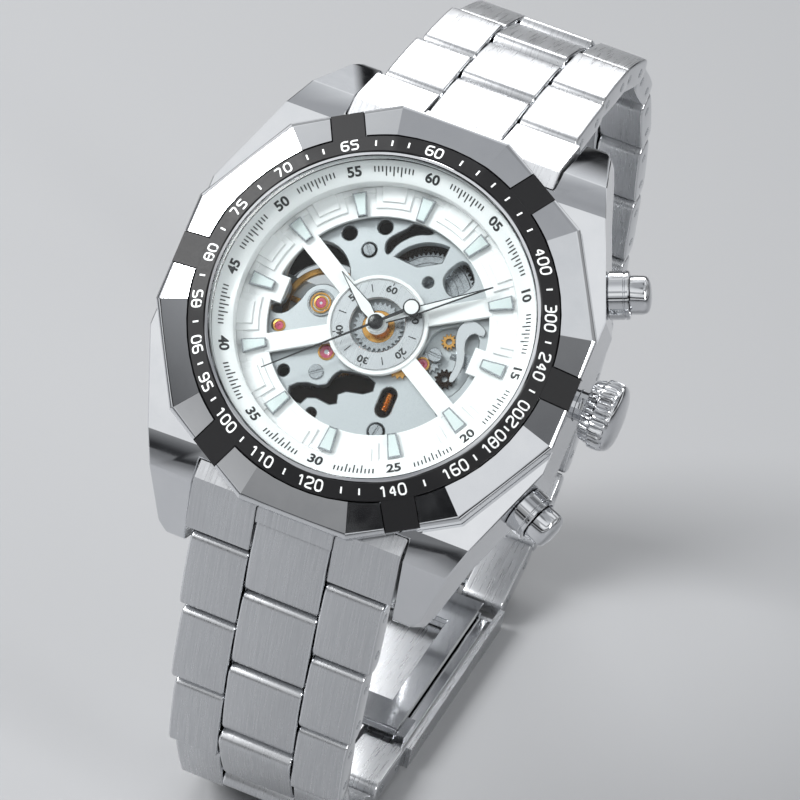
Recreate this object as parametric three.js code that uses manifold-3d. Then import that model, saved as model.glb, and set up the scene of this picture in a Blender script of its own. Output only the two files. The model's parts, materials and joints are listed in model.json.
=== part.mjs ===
// Skeleton wristwatch: a faceted steel case with a tachymeter ring, an open-worked white dial over a
// self-winding movement, and a three-row steel bracelet closed in a loop by a folding clasp.
// Units are millimetres. The watch stands on the flat underside of its clasp, and the centre of that
// face is the origin: +X runs to the crown, +Y away from the wearer's 6 o'clock side, +Z up.
// The head is drawn flat in its own frame (+Y to 12 o'clock, +Z out of the dial, z = 0 at the minute
// numerals) and then leans back by HEAD_TILT.
import * as THREE from "three";
import { mergeVertices } from "three/addons/utils/BufferGeometryUtils.js";
import Module from "manifold-3d";

const wasm = await Module();
wasm.setup();

// ---- Driving dimensions ----

const HEAD_TILT = 48.4; // degrees from lying flat
const GAP = 0.1; // clearance between seated pieces
const SEGMENTS = 36; // facets of a large round

// Bezel and the black ring let into it
const BEZEL_FLATS = 42; // across the twelve flats
const BEZEL_BORE_R = 16;
const BEZEL_TOP = 1.5;
const BEZEL_SHOULDER = -0.3; // where the sloping facets meet the skirt
const BEZEL_FOOT = -1.6;
const INSERT_INNER_R = 16.45;
const INSERT_OUTER_R = 18.2;
const INSERT_DEPTH = 0.5;
const TAB_WIDTH = 3.3;

// Crystal, minute ring and dial
const CRYSTAL_THICK = 1.35;
const FLANGE_INNER_R = 13.9;
const FLANGE_TOP = 0.3;
const FLANGE_FOOT = -2.3;
const DIAL_TOP = -2.6;
const DIAL_THICK = 0.5;
const DIAL_R = FLANGE_INNER_R + 0.5;
const DIAL_OPENING_R = 10.95;
const DIAL_HUB_R = 4.9;
const DIAL_HUB_BORE_R = 2.75;
const DIAL_ARM_WIDTH = 1.8;
const CENTRE_DISC_R = 4.5;

// Case
const CASE_TOP = -1.7;
const CASE_FOOT = -9;
const TIER_DEPTH = 1.6; // of the twelve-sided tier below the bezel
const MOVEMENT_R = 14.9;
const CASE_HALF_WIDTH = BEZEL_FLATS / 2 - 0.1;
const LUG_FOOT = -11.7;
const LUG_SPAN = 22.3; // between the lugs
const LUG_TIP_HALF = LUG_SPAN / 2 + 2.95;
const BACK_R = 17.6;
const BACK_THICK = 1.4;
const BACK_WINDOW_R = 12.4;
const BACK_LIP = 0.8; // how far the back reaches in under its glass
const BACK_LIP_THICK = 0.35;
const BACK_GLASS_THICK = 0.8;
const FAR = 40; // a length past the whole head, for cutters

// Crown, stem and pushers
const STEM_Z = -5;
const STEM_R = 0.6;
const STEM_SQUARE = 0.7; // half across the stem's square
const STEM_CORNER = STEM_SQUARE * Math.SQRT2;
const CROWN_R = 3.5;
const CROWN_LENGTH = 3.6;
const CROWN_TUBE_R = 1.5;
const PUSHER_Y = 11.2;
const PUSHER_CAP_R = 1.9;
const PUSHER_COLLAR_R = 2.4;
const PUSHER_TRAVEL = 1;
const PUSHER_STEM_R = 0.75;
const PUSHER_BORE_R = 0.9;
const COLLAR_FLOOR = 1;
const COLLAR_TOP = 2.1;
const CROWN_CAP = 0.7; // height of the crown's domed cap

// Movement
const PLATE_TOP = -3.6;
const PLATE_THICK = 1.2;
const BRIDGE_TOP = -7.5;
const BRIDGE_THICK = 0.5;
const ARBOR_R = 0.2;
const TOOTH = 0.3;
const BARREL_AT = [3, 5];
const BARREL_R = 4.6;
const BALANCE_AT = [-6.3, 0.25];
const BALANCE_R = 4.4;
const THIRD_AT = [-3.2, -3.2];
const ESCAPE_AT = [-5, -6];
const PALLET_AT = [-5.9, -3.1];
const ROTOR_R = 11.6;

// Hands, as clock angles in degrees and lengths from the centre
const HOUR_HAND = { angle: 305, length: 6.4 };
const MINUTE_HAND = { angle: 52, length: 11.9 };
const SECONDS_HAND = { angle: 227, length: 12, tail: 3.76 };

// Bracelet. Each link is two outer pieces and a centre piece half a pitch ahead of them.
const PITCH = 9.8;
const LINK_THICK = 3;
const LINK_GAP = 0.2; // between the rounded ends
const SIDE_GAP = 0.12; // between a centre piece and the outer pieces beside it
const CENTRE_WIDTH = 8;
const END_WIDTH = LUG_SPAN - 0.3;
const CLASP_LINK_WIDTH = 18.4;
const TAPER_LINKS = 4; // links from the case over which the bracelet narrows
const PIN_R = 0.55;
const PIN_BORE_R = 0.7;
const TURNS_6 = [1, 7, 20, 27, 25, 4]; // degrees from each link to the next, the last on to the level clasp
const TURNS_12 = [-4, -13, -20, -16, -10, -7, -8, -11, -16, -21, -26]; // the same, scaled to close the loop

// Clasp
const CLASP_LENGTH = 36; // between the pins at its two ends
const CLASP_WIDTH = 19.4;
const CLASP_WALL = 0.7;
const CLASP_DROP = 1.65; // from the first pin down to the flat underside
const CLASP_RISE = 0.9; // of the far pin above the first pin
const BLADE_WIDTH = 16.6;
const BLADE_THICK = 0.65;
const BLADE_PIN_R = 0.3;
const KNUCKLE_R = 0.6;

const radians = THREE.MathUtils.degToRad;

// ---- Solids ----

// A three.js geometry as a manifold solid.
function solid(geometry) {
  const bare = new THREE.BufferGeometry();
  bare.setAttribute("position", geometry.getAttribute("position"));
  if (geometry.index) bare.setIndex(geometry.index);
  const merged = mergeVertices(bare, 1e-4);
  return new wasm.Manifold(
    new wasm.Mesh({
      numProp: 3,
      vertProperties: new Float32Array(merged.attributes.position.array),
      triVerts: new Uint32Array(merged.index.array),
    }),
  );
}

const join = (...parts) => parts.reduce((a, b) => a.add(b));
const cut = (a, ...tools) => tools.reduce((s, t) => s.subtract(t), a);

// A box between two corners.
function box([x0, y0, z0], [x1, y1, z1]) {
  const g = new THREE.BoxGeometry(x1 - x0, y1 - y0, z1 - z0);
  return solid(g.translate((x0 + x1) / 2, (y0 + y1) / 2, (z0 + z1) / 2));
}

// A prism of an outline in the XY plane between two heights, with optional holes.
function prism(outline, z0, z1, holes = []) {
  const points = outline.map(([x, y]) => new THREE.Vector2(x, y));
  const shape = new THREE.Shape(points);
  for (const hole of holes)
    shape.holes.push(new THREE.Path(hole.map(([x, y]) => new THREE.Vector2(x, y))));
  const g = new THREE.ExtrudeGeometry(shape, { depth: z1 - z0, bevelEnabled: false });
  return solid(g.translate(0, 0, z0));
}

// Points on an arc of radius r about (x, y), from angle a to b in degrees.
function arc(x, y, r, a, b, steps) {
  return Array.from({ length: steps + 1 }, (_, i) => {
    const t = radians(a + ((b - a) * i) / steps);
    return [x + r * Math.cos(t), y + r * Math.sin(t)];
  });
}

const circle = (x, y, r, steps = 16) => arc(x, y, r, 0, 360, steps).slice(0, -1);

// A round post along Z between two heights.
const post = (r, z0, z1, [x, y] = [0, 0], steps = 16) => prism(circle(x, y, r, steps), z0, z1);

// A ring about Z, bored through.
const ring = (outer, inner, z0, z1, [x, y] = [0, 0], steps = 24) =>
  prism(circle(x, y, outer, steps), z0, z1, [circle(x, y, inner, steps)]);

// A closed profile of [radius, z] points turned about Z, whichever way round it is listed.
function turned(profile, steps = SEGMENTS) {
  const area = profile.reduce((sum, [r, z], i) => {
    const [r1, z1] = profile[(i + 1) % profile.length];
    return sum + r * z1 - r1 * z;
  }, 0);
  const ordered = area > 0 ? profile : [...profile].reverse();
  const points = [...ordered, ordered[0]].map(([r, z]) => new THREE.Vector2(r, z));
  return solid(new THREE.LatheGeometry(points, steps).rotateX(Math.PI / 2));
}

// A wheel's outline with pointed teeth, standing out by `depth` from the root circle.
function teeth(r, count, depth) {
  return Array.from({ length: 2 * count }, (_, i) => {
    const t = (Math.PI * i) / count;
    const at = i % 2 ? r - depth : r;
    return [at * Math.cos(t), at * Math.sin(t)];
  });
}

// A toothed wheel on its arbor.
function wheel([x, y], r, count, z0, z1, arborR, arbor0, arbor1) {
  const rim = prism(teeth(r, count, TOOTH), z0, z1).translate([x, y, 0]);
  return join(rim, post(arborR, arbor0, arbor1, [x, y], 12));
}

// Turns a solid drawn along Z so that its axis points along a plan direction in degrees.
const layOver = (s, degrees) => s.rotate([0, 90, 0]).rotate([0, 0, degrees]);

const head = new THREE.Group();
head.name = "head";
const watch = new THREE.Group();
watch.name = "skeleton_wristwatch";
watch.add(head);

const finish = (color, roughness, metalness) => ({ color, roughness, metalness });
const POLISHED = finish(0xd8dadc, 0.12, 1);
const BRUSHED = finish(0xb9bbbd, 0.35, 1);
const BLACK = finish(0x1b1b1d, 0.5, 0.2);
const WHITE = finish(0xf3f4f3, 0.4, 0);
const FROSTED = finish(0xc9cccc, 0.4, 0.9);
const BRASS = finish(0xc9a46a, 0.3, 1);
const GLASS = finish(0xeef4f6, 0.05, 0);
const RUBBER = finish(0x202020, 0.8, 0);

// Adds a named piece to a group.
function piece(group, name, shape, look) {
  const mesh = shape.getMesh();
  const g = new THREE.BufferGeometry();
  g.setAttribute("position", new THREE.BufferAttribute(mesh.vertProperties, 3));
  g.setIndex(new THREE.BufferAttribute(mesh.triVerts, 1));
  g.computeVertexNormals();
  const made = new THREE.Mesh(g, new THREE.MeshStandardMaterial(look));
  made.name = name;
  group.add(made);
  return made;
}

// ---- End link and its hinge, as [y, z] in the head's frame for the 12 o'clock side ----

const LINK_HALF = LINK_THICK / 2;
const PIN_TO_END = PITCH / 4;
const END_TOP = [BEZEL_FLATS / 2 + 0.2, -2.9];
const LUG_REACH = BEZEL_FLATS / 2 + PIN_TO_END + 2.15; // from the centre to the lug tips
const END_EDGE = [LUG_REACH - 0.4, -5.15 - PIN_TO_END];
const END_SLOPE = Math.atan2(END_EDGE[1] - END_TOP[1], END_EDGE[0] - END_TOP[0]);
const END_DIR = [Math.cos(END_SLOPE), Math.sin(END_SLOPE)];
const END_PIN = [
  END_EDGE[0] + LINK_HALF * END_DIR[1] - (PIN_TO_END + 0.2) * END_DIR[0],
  END_EDGE[1] - LINK_HALF * END_DIR[0] - (PIN_TO_END + 0.2) * END_DIR[1],
];

// ---- Case ----

const SIXTH = [0, 60, 120, 180, 240, 300];

// A twelve-sided body with flats at 0, 30, 60 degrees and so on, from a profile of
// [distance from the axis to a flat, z] points.
function faceted(profile) {
  const corner = Math.cos(Math.PI / 12);
  return turned(profile.map(([flat, z]) => [flat / corner, z]), 12).rotate([0, 0, 15]);
}

// The bezel's outside: a low skirt, then facets that slope up to the insert, lowered by `drop`.
const bezelBlock = (drop) =>
  faceted([
    [0, BEZEL_FOOT - drop],
    [BEZEL_FLATS / 2, BEZEL_FOOT - drop],
    [BEZEL_FLATS / 2, BEZEL_SHOULDER - drop],
    [BEZEL_BORE_R + 0.3, BEZEL_TOP - drop],
    [0, BEZEL_TOP - drop],
  ]);

// The insert's plan: a ring with six tabs that run out to the bezel's edge.
function insertPlan(clearance) {
  const round = ring(
    INSERT_OUTER_R + clearance,
    INSERT_INNER_R - clearance,
    BEZEL_FOOT,
    BEZEL_TOP + 1,
    [0, 0],
    SEGMENTS,
  );
  const half = TAB_WIDTH / 2 + clearance;
  const reach = [INSERT_INNER_R + 0.6, BEZEL_FLATS / 2 + 1];
  const tab = box([reach[0], -half, BEZEL_FOOT], [reach[1], half, BEZEL_TOP + 1]);
  return join(round, ...SIXTH.map((a) => tab.rotate([0, 0, a])));
}

function makeBezel() {
  const recess = insertPlan(GAP).subtract(bezelBlock(INSERT_DEPTH));
  const bore = post(BEZEL_BORE_R, BEZEL_FOOT - 1, BEZEL_TOP + 1, [0, 0], SEGMENTS);
  return cut(bezelBlock(0), recess, bore);
}

const makeInsert = () => bezelBlock(0).intersect(insertPlan(0)).subtract(bezelBlock(INSERT_DEPTH - GAP));

const FLANGE_R = BEZEL_BORE_R - GAP;
const CRYSTAL_FOOT = FLANGE_TOP + GAP;

function makeCrystal() {
  const r = FLANGE_R;
  const top = CRYSTAL_FOOT + CRYSTAL_THICK;
  return turned([
    [0, CRYSTAL_FOOT],
    [r, CRYSTAL_FOOT],
    [r, top - 0.35],
    [r - 0.35, top],
    [0, top],
  ]);
}

function makeFlange() {
  return turned([
    [FLANGE_R, FLANGE_FOOT],
    [FLANGE_R, FLANGE_TOP],
    [FLANGE_R - 0.3, FLANGE_TOP],
    [FLANGE_INNER_R, DIAL_TOP + 0.35],
    [FLANGE_INNER_R, DIAL_TOP + GAP],
    [FLANGE_INNER_R + 0.6, DIAL_TOP + GAP],
    [FLANGE_INNER_R + 0.6, FLANGE_FOOT],
  ]);
}

// The flank's line in plan runs from beside the crown to the lug tip.
const FLANK_FROM = [CASE_HALF_WIDTH, 8];
const FLANK_TO = [LUG_TIP_HALF, LUG_REACH - 0.7];
const FLANK_ANGLE =
  (Math.atan2(FLANK_FROM[0] - FLANK_TO[0], FLANK_TO[1] - FLANK_FROM[1]) * 180) / Math.PI;
const PUSHER_X =
  FLANK_FROM[0] - (PUSHER_Y - FLANK_FROM[1]) * Math.tan(radians(FLANK_ANGLE));

function makeCase() {
  const quarter = [
    [CASE_HALF_WIDTH, 0],
    FLANK_FROM,
    FLANK_TO,
    [LUG_TIP_HALF - 0.9, LUG_REACH],
    [0, LUG_REACH],
  ];
  const upper = [...quarter, ...quarter.slice(0, -1).reverse().map(([x, y]) => [-x, y])];
  const plan = [...upper, ...upper.slice(1, -1).reverse().map(([x, y]) => [x, -y])];
  const blank = prism(plan, LUG_FOOT, CASE_TOP);
  const half = [
    [0, CASE_TOP],
    [MOVEMENT_R + 2.7, CASE_TOP],
    [CASE_HALF_WIDTH - 0.1, CASE_TOP - 1.3],
    [LUG_REACH - 0.3, CASE_TOP - 7.2],
    [LUG_REACH + 0.1, CASE_TOP - 8],
    [LUG_REACH - 0.8, LUG_FOOT],
    [LUG_REACH - 2.4, LUG_FOOT],
    [BACK_R + 0.9, CASE_FOOT],
    [0, CASE_FOOT],
  ];
  const side = [...half, ...half.slice(1, -1).reverse().map(([y, z]) => [-y, z])];
  const profile = prism(side, -FAR, FAR).rotate([90, 0, 90]);
  const slotFrom = BACK_R + 0.9;
  const slot = (sign) =>
    box(
      [-LUG_SPAN / 2, Math.min(sign * slotFrom, sign * FAR), LUG_FOOT - 1],
      [LUG_SPAN / 2, Math.max(sign * slotFrom, sign * FAR), 0],
    );
  const stemBore = layOver(post(CROWN_TUBE_R + GAP, MOVEMENT_R - 2, FAR, [-STEM_Z, 0], 16), 0);
  const pusherBore = (sign) =>
    layOver(post(PUSHER_COLLAR_R - 1 + GAP, -3.4, 20, [-STEM_Z, 0], 16), sign * FLANK_ANGLE).translate([
      PUSHER_X,
      sign * PUSHER_Y,
      0,
    ]);
  const tierFlat = BEZEL_FLATS / 2 - 0.5;
  const tier = faceted([
    [0, CASE_TOP - TIER_DEPTH],
    [tierFlat, CASE_TOP - TIER_DEPTH],
    [tierFlat, CASE_TOP],
    [0, CASE_TOP],
  ]);
  return cut(
    join(blank.intersect(profile), tier),
    post(MOVEMENT_R, CASE_FOOT - 5, 5, [0, 0], SEGMENTS),
    post(FLANGE_R + GAP, DIAL_TOP - DIAL_THICK - GAP, 5, [0, 0], SEGMENTS),
    slot(1),
    slot(-1),
    stemBore,
    pusherBore(1),
    pusherBore(-1),
    springBarHole(1),
    springBarHole(-1),
  );
}

// The bars that hold the end links cross between the lugs, close to the case's wall and its tier.
const BAR_R = 0.75;
const BAR_AT = [BACK_R + 0.9 + BAR_R + 0.19, CASE_TOP - TIER_DEPTH - BAR_R - 0.01];
const barAlongX = (r, half, sign) =>
  layOver(post(r, -half, half, [0, 0], 12), 0).translate([0, sign * BAR_AT[0], BAR_AT[1]]);
const springBarHole = (sign) => barAlongX(0.5 + GAP, LUG_SPAN / 2 + 1.3, sign);
const springBar = (sign) =>
  join(barAlongX(BAR_R, LUG_SPAN / 2 - 0.3, sign), barAlongX(0.5, LUG_SPAN / 2 + 1.1, sign));

const BACK_TOP = CASE_FOOT - GAP;

function makeBack() {
  const foot = BACK_TOP - BACK_THICK;
  return turned([
    [BACK_R, BACK_TOP],
    [BACK_R, BACK_TOP - 0.6],
    [BACK_R - 0.8, foot],
    [BACK_WINDOW_R - BACK_LIP, foot],
    [BACK_WINDOW_R - BACK_LIP, foot + BACK_LIP_THICK],
    [BACK_WINDOW_R, foot + BACK_LIP_THICK],
    [BACK_WINDOW_R, BACK_TOP],
  ]);
}

const BACK_GLASS_FOOT = BACK_TOP - BACK_THICK + BACK_LIP_THICK + GAP;
const backGlass = () =>
  post(BACK_WINDOW_R - GAP, BACK_GLASS_FOOT, BACK_GLASS_FOOT + BACK_GLASS_THICK, [0, 0], SEGMENTS);

// ---- Crown and pushers ----

const CROWN_FROM = CASE_HALF_WIDTH + 1;
const TUBE_END = CROWN_FROM + 0.8;
const alongStem = (s) => layOver(s, 0).translate([0, 0, STEM_Z]);

function makeCrown() {
  const knurl = prism(teeth(CROWN_R, 28, 0.25), CROWN_FROM, CROWN_FROM + CROWN_LENGTH - CROWN_CAP);
  const cap = turned(
    [
      [0, CROWN_FROM + CROWN_LENGTH - CROWN_CAP],
      [CROWN_R - 0.3, CROWN_FROM + CROWN_LENGTH - CROWN_CAP],
      [CROWN_R - 0.5, CROWN_FROM + CROWN_LENGTH - 0.3],
      [CROWN_R - 1.5, CROWN_FROM + CROWN_LENGTH],
      [0, CROWN_FROM + CROWN_LENGTH],
    ],
    24,
  );
  const recess = post(CROWN_TUBE_R + 0.35, CROWN_FROM - 1, CROWN_FROM + 2, [0, 0], 20);
  return alongStem(cut(join(knurl, cap), recess));
}

const makeStem = () => {
  const shaft = post(STEM_R, BARREL_AT[0] + 4.5, CROWN_FROM + 1.9, [0, 0], 12);
  const square = box([-STEM_SQUARE, -STEM_SQUARE, 8.6], [STEM_SQUARE, STEM_SQUARE, 10.4]);
  return alongStem(join(shaft, square));
};
const makeGasket = () =>
  alongStem(ring(CROWN_TUBE_R - 0.4, STEM_R + 0.1, CASE_HALF_WIDTH - 1.6, CASE_HALF_WIDTH - 0.8, [0, 0], 16));
const makeTube = () =>
  alongStem(ring(CROWN_TUBE_R, CROWN_TUBE_R - 0.35, MOVEMENT_R + 0.3, TUBE_END, [0, 0], 16));

const atPusher = (s, sign) =>
  layOver(s, sign * FLANK_ANGLE).translate([PUSHER_X, sign * PUSHER_Y, STEM_Z]);

function makeCollar(sign) {
  const outside = ring(PUSHER_COLLAR_R, PUSHER_CAP_R + 0.12, COLLAR_FLOOR, COLLAR_TOP, [0, 0], 20);
  const floor = ring(PUSHER_COLLAR_R, PUSHER_BORE_R, GAP / 2, COLLAR_FLOOR, [0, 0], 20);
  const neck = ring(PUSHER_COLLAR_R - 1, PUSHER_BORE_R, -1.4, 0.5, [0, 0], 20);
  return atPusher(join(outside, floor, neck), sign);
}

function makePusher(sign) {
  const inner = COLLAR_FLOOR + PUSHER_TRAVEL + GAP;
  const outer = inner + 1.6;
  const cap = turned(
    [
      [0, inner],
      [PUSHER_CAP_R, inner],
      [PUSHER_CAP_R, outer],
      [PUSHER_CAP_R - 0.3, outer + 0.3],
      [PUSHER_CAP_R - 0.9, outer + 0.5],
      [0, outer + 0.5],
    ],
    20,
  );
  return atPusher(join(cap, post(PUSHER_STEM_R, -1.6, inner + 0.1, [0, 0], 12)), sign);
}

// ---- Dial and hands ----

function makeDial() {
  const foot = DIAL_TOP - DIAL_THICK;
  const rim = ring(DIAL_R, DIAL_OPENING_R, foot, DIAL_TOP, [0, 0], SEGMENTS);
  const hub = ring(DIAL_HUB_R, DIAL_HUB_BORE_R, foot, DIAL_TOP, [0, 0], 32);
  const arm = box(
    [DIAL_HUB_R - 0.6, -DIAL_ARM_WIDTH / 2, foot],
    [DIAL_OPENING_R + 0.6, DIAL_ARM_WIDTH / 2, DIAL_TOP],
  );
  const tab = box([DIAL_OPENING_R - 1.1, -1.35, foot], [DIAL_OPENING_R + 0.6, 1.35, DIAL_TOP]);
  const arms = [30, 150, 210, 330].map((a) => arm.rotate([0, 0, a]));
  return join(rim, hub, ...arms, tab, tab.rotate([0, 0, 180]));
}

// The minute disc lies on the dial's hub.
const makeCentreDisc = () =>
  ring(CENTRE_DISC_R, DIAL_HUB_BORE_R, DIAL_TOP + 0.03, DIAL_TOP + 0.2, [0, 0], 32);

// A hand drawn towards 12 o'clock and turned to its clock angle.
const hand = (outline, z0, z1, bore, hubR, angle) => {
  const flat = join(prism(outline, z0, z1), post(hubR, z0, z1, [0, 0], 20));
  return flat.subtract(post(bore, z0 - 1, z1 + 1, [0, 0], 16)).rotate([0, 0, -angle]);
};

const HOUR_Z = [-2.1, -1.9];
const MINUTE_Z = [-1.7, -1.5];
const SECONDS_Z = [-1.2, -1.05];
const PIPE_R = 0.75;
const CANNON_R = 0.5;
const SECONDS_ARBOR_R = 0.2;

function makeHourHand() {
  const reach = HOUR_HAND.length;
  const outline = [
    [-0.3, 0],
    [0.3, 0],
    [0.62, 2],
    [0.06, reach],
    [-0.06, reach],
    [-0.62, 2],
  ];
  return hand(outline, ...HOUR_Z, PIPE_R + 0.04, 1.1, HOUR_HAND.angle);
}

function makeMinuteHand() {
  const reach = MINUTE_HAND.length;
  const outline = [
    [-0.3, 0],
    [0.3, 0],
    [0.45, 3.5],
    [0.06, reach],
    [-0.06, reach],
    [-0.45, 3.5],
  ];
  return hand(outline, ...MINUTE_Z, CANNON_R + 0.04, 0.95, MINUTE_HAND.angle);
}

function makeSecondsHand() {
  const { length, tail, angle } = SECONDS_HAND;
  const outline = [
    [-0.22, -tail],
    [0.22, -tail],
    [0.12, 0],
    [0.06, length],
    [-0.06, length],
    [-0.12, 0],
  ];
  const needle = hand(outline, ...SECONDS_Z, SECONDS_ARBOR_R + 0.03, 0.75, angle);
  const counterweight = post(0.85, ...SECONDS_Z, [0, -tail], 20).rotate([0, 0, -angle]);
  return join(needle, counterweight);
}

// ---- Movement ----

const PLATE_R = MOVEMENT_R - 1.6;
const PLATE_FOOT = PLATE_TOP - PLATE_THICK;

// A point or hole of the plate, drawn for a movement of radius 14.9 and scaled to this one.
const PLATE_SCALE = MOVEMENT_R / 14.9;
const scaled = (points) => points.map((p) => p.map((value) => value * PLATE_SCALE));

// Openings in the plate through which the balance, barrel and train are seen.
const BALANCE_WINDOW = scaled([
  [-9, 6.2],
  [-10.6, 4.6],
  [-10.9, 1.5],
  [-9.8, 1.3],
  [-9.8, -1.2],
  [-10.9, -1.4],
  [-10.8, -2.2],
  [-9.4, -2.1],
  [-8.4, -0.4],
  [-8, 1.4],
  [-6.6, 2.4],
  [-4.5, 2],
  [-4.7, 4.4],
  [-6.6, 6.2],
]);
const BARREL_WINDOW = scaled([...arc(3, 5.2, 4.7, 155, 85, 5), [3.3, 8.2], [1.2, 7]]);
const CLICK_WINDOW = scaled([
  [5.3, 9.4],
  [4.2, 7.8],
  [4, 6.5],
  [5.5, 5.1],
  [7, 6.8],
  [7, 7.9],
]);
const TRAIN_WINDOW = scaled([
  [-1.7, -5.1],
  [-2.4, -6],
  [-2.7, -7.4],
  [-5.1, -7.7],
  [-6.3, -8.9],
  [-4.5, -10.1],
  [-3.8, -8.6],
  [-0.9, -8.9],
  [-1.4, -7.2],
  [1.9, -6.5],
  [1.7, -4.8],
]);
const PLATE_HOLES = scaled([
  [-3.3, 9.6, 0.75],
  [-6.4, 7.8, 0.75],
  [-3.9, 6.9, 0.75],
  [-7.2, -7.3, 0.6],
  [-9.5, -3.3, 0.55],
  [-3, -10.3, 0.55],
  [3.7, -9.7, 0.85],
]);

function makePlate() {
  const through = (outline) => prism(outline, PLATE_FOOT - 1, PLATE_TOP + 1);
  const slot = scaled([...arc(3.5, -5.9, 0.8, 0, 180, 6), ...arc(3.5, -7.4, 0.8, 180, 360, 6)]);
  const channelHalf = STEM_CORNER + GAP;
  const stemChannel = box(
    [6.4, -channelHalf, PLATE_FOOT - 1],
    [PLATE_R + 1, channelHalf, STEM_Z + channelHalf],
  );
  return cut(
    post(PLATE_R, PLATE_FOOT, PLATE_TOP, [0, 0], SEGMENTS),
    post(1.3, PLATE_FOOT - 1, PLATE_TOP + 1),
    stemChannel,
    ...[BALANCE_WINDOW, BARREL_WINDOW, CLICK_WINDOW, TRAIN_WINDOW, slot].map(through),
    ...PLATE_HOLES.map(([x, y, r]) => through(circle(x, y, r, 12))),
  );
}

const TRAIN_FOOT = BRIDGE_TOP + GAP; // where the arbors end
const TRAIN_HEAD = PLATE_FOOT - GAP;

// Heights of the wheels, each clear of the one above it.
const CENTRE_Z = [-5.25, -5];
const FOURTH_Z = [-5.75, -5.5];
const THIRD_Z = [-6.2, -5.95];
const ESCAPE_Z = [-6.55, -6.35];
const BALANCE_Z = [-7.25, -6.75];
const BARREL_Z = [-7.2, -5.9];

function makeBalance() {
  const [x, y] = BALANCE_AT;
  const rim = ring(BALANCE_R, BALANCE_R - 0.7, ...BALANCE_Z, BALANCE_AT, 36);
  const arm = box([x - BALANCE_R + 0.4, y - 0.3, -7.1], [x + BALANCE_R - 0.4, y + 0.3, -6.9]);
  const staff = post(ARBOR_R, TRAIN_FOOT, TRAIN_HEAD, BALANCE_AT, 12);
  return join(rim, arm, staff);
}

function makePallet() {
  const [x, y] = PALLET_AT;
  const arms = box([x - 1.1, y - 0.25, ESCAPE_Z[0]], [x + 1.1, y + 0.1, ESCAPE_Z[1]]);
  const lever = box([x - 0.15, y, ESCAPE_Z[0]], [x + 0.15, y + 2.4, ESCAPE_Z[1]]);
  return join(arms, lever, post(ARBOR_R, TRAIN_FOOT, TRAIN_HEAD, PALLET_AT, 12));
}

function makeBarrel() {
  const drum = prism(teeth(BARREL_R, 30, TOOTH), -6.4, -6.1);
  const body = join(drum, post(BARREL_R - 0.4, ...BARREL_Z, [0, 0], 32));
  return cut(body, post(0.8, -8, -5)).translate([...BARREL_AT, 0]);
}

// The ratchet wheel sits outside the bridge on the barrel's arbor.
function makeRatchet() {
  const foot = BRIDGE_TOP - BRIDGE_THICK - GAP;
  const plate = prism(teeth(3.2, 26, TOOTH), foot - 0.25, foot);
  const arbor = post(0.65, foot - 0.1, TRAIN_HEAD - 0.7, [0, 0], 16);
  return join(plate, arbor).translate([...BARREL_AT, 0]);
}

const BRIDGE_FOOT = BRIDGE_TOP - BRIDGE_THICK;
const COCK_EDGE = 5.1; // half width of the balance cock's seat

function cockPlan(clearance) {
  const [x, y] = BALANCE_AT;
  const half = 2.2 + clearance;
  const arm = box([x - 8, y - half, -20], [x + 0.4, y + half, 0]);
  return join(post(half, -20, 0, BALANCE_AT, 20), arm);
}

function makeBridge() {
  const disc = post(PLATE_R, BRIDGE_FOOT, BRIDGE_TOP, [0, 0], SEGMENTS);
  const well = post(COCK_EDGE, -20, 0, BALANCE_AT, 32);
  const edgeGap = cockPlan(GAP);
  const rotorPost = post(1, BRIDGE_FOOT - 1.1, BRIDGE_FOOT + 0.1, [0, 0], 16);
  const barrelHole = post(0.8, -20, 0, BARREL_AT, 16);
  return join(cut(disc, well, edgeGap, barrelHole), rotorPost);
}

function makeCock() {
  const disc = post(PLATE_R, BRIDGE_FOOT, BRIDGE_TOP, [0, 0], SEGMENTS);
  return disc.intersect(cockPlan(0));
}

function makeRotor() {
  const top = BRIDGE_FOOT - 0.45;
  const foot = top - 0.55;
  const heavy = arc(0, 0, ROTOR_R, 180, 360, 24);
  const web = [...heavy, [2.6, 0], [-2.6, 0]];
  const sector = prism(web, foot, top);
  const windows = [225, 270, 315].map((a) =>
    prism([...arc(0, 0, 8.6, a - 17, a + 17, 6), ...arc(0, 0, 4, a + 12, a - 12, 4)], foot - 1, top + 1),
  );
  return cut(join(sector, post(2.8, foot, top, [0, 0], 24)), post(1.15, foot - 1, top + 1), ...windows);
}

function makeHourWheel() {
  const foot = PLATE_TOP + GAP;
  const gear = prism(teeth(2.5, 30, TOOTH), foot, foot + 0.25);
  const pipe = post(PIPE_R, foot, HOUR_Z[1] + 0.05, [0, 0], 20);
  return cut(join(gear, pipe), post(CANNON_R + 0.06, -9, 0));
}

function makeCentreWheel() {
  const arbor = post(CANNON_R, CENTRE_Z[0], MINUTE_Z[1] + 0.05, [0, 0], 20);
  const gear = prism(teeth(3.4, 32, TOOTH), ...CENTRE_Z);
  return cut(join(gear, arbor), post(SECONDS_ARBOR_R + 0.08, -9, 0));
}

const makeFourthWheel = () =>
  wheel([0, 0], 3, 30, ...FOURTH_Z, SECONDS_ARBOR_R, TRAIN_FOOT, SECONDS_Z[1] + 0.1);

// The minute wheel carries the motion from the cannon pinion to the hour wheel, beside them.
const MINUTE_WHEEL_AT = [3.4, -2.6];
const makeMinuteWheel = () =>
  wheel(MINUTE_WHEEL_AT, 1.6, 18, PLATE_TOP + 0.05, PLATE_TOP + 0.3, 0.3, PLATE_TOP + 0.05, PLATE_TOP + 0.42);

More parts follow.
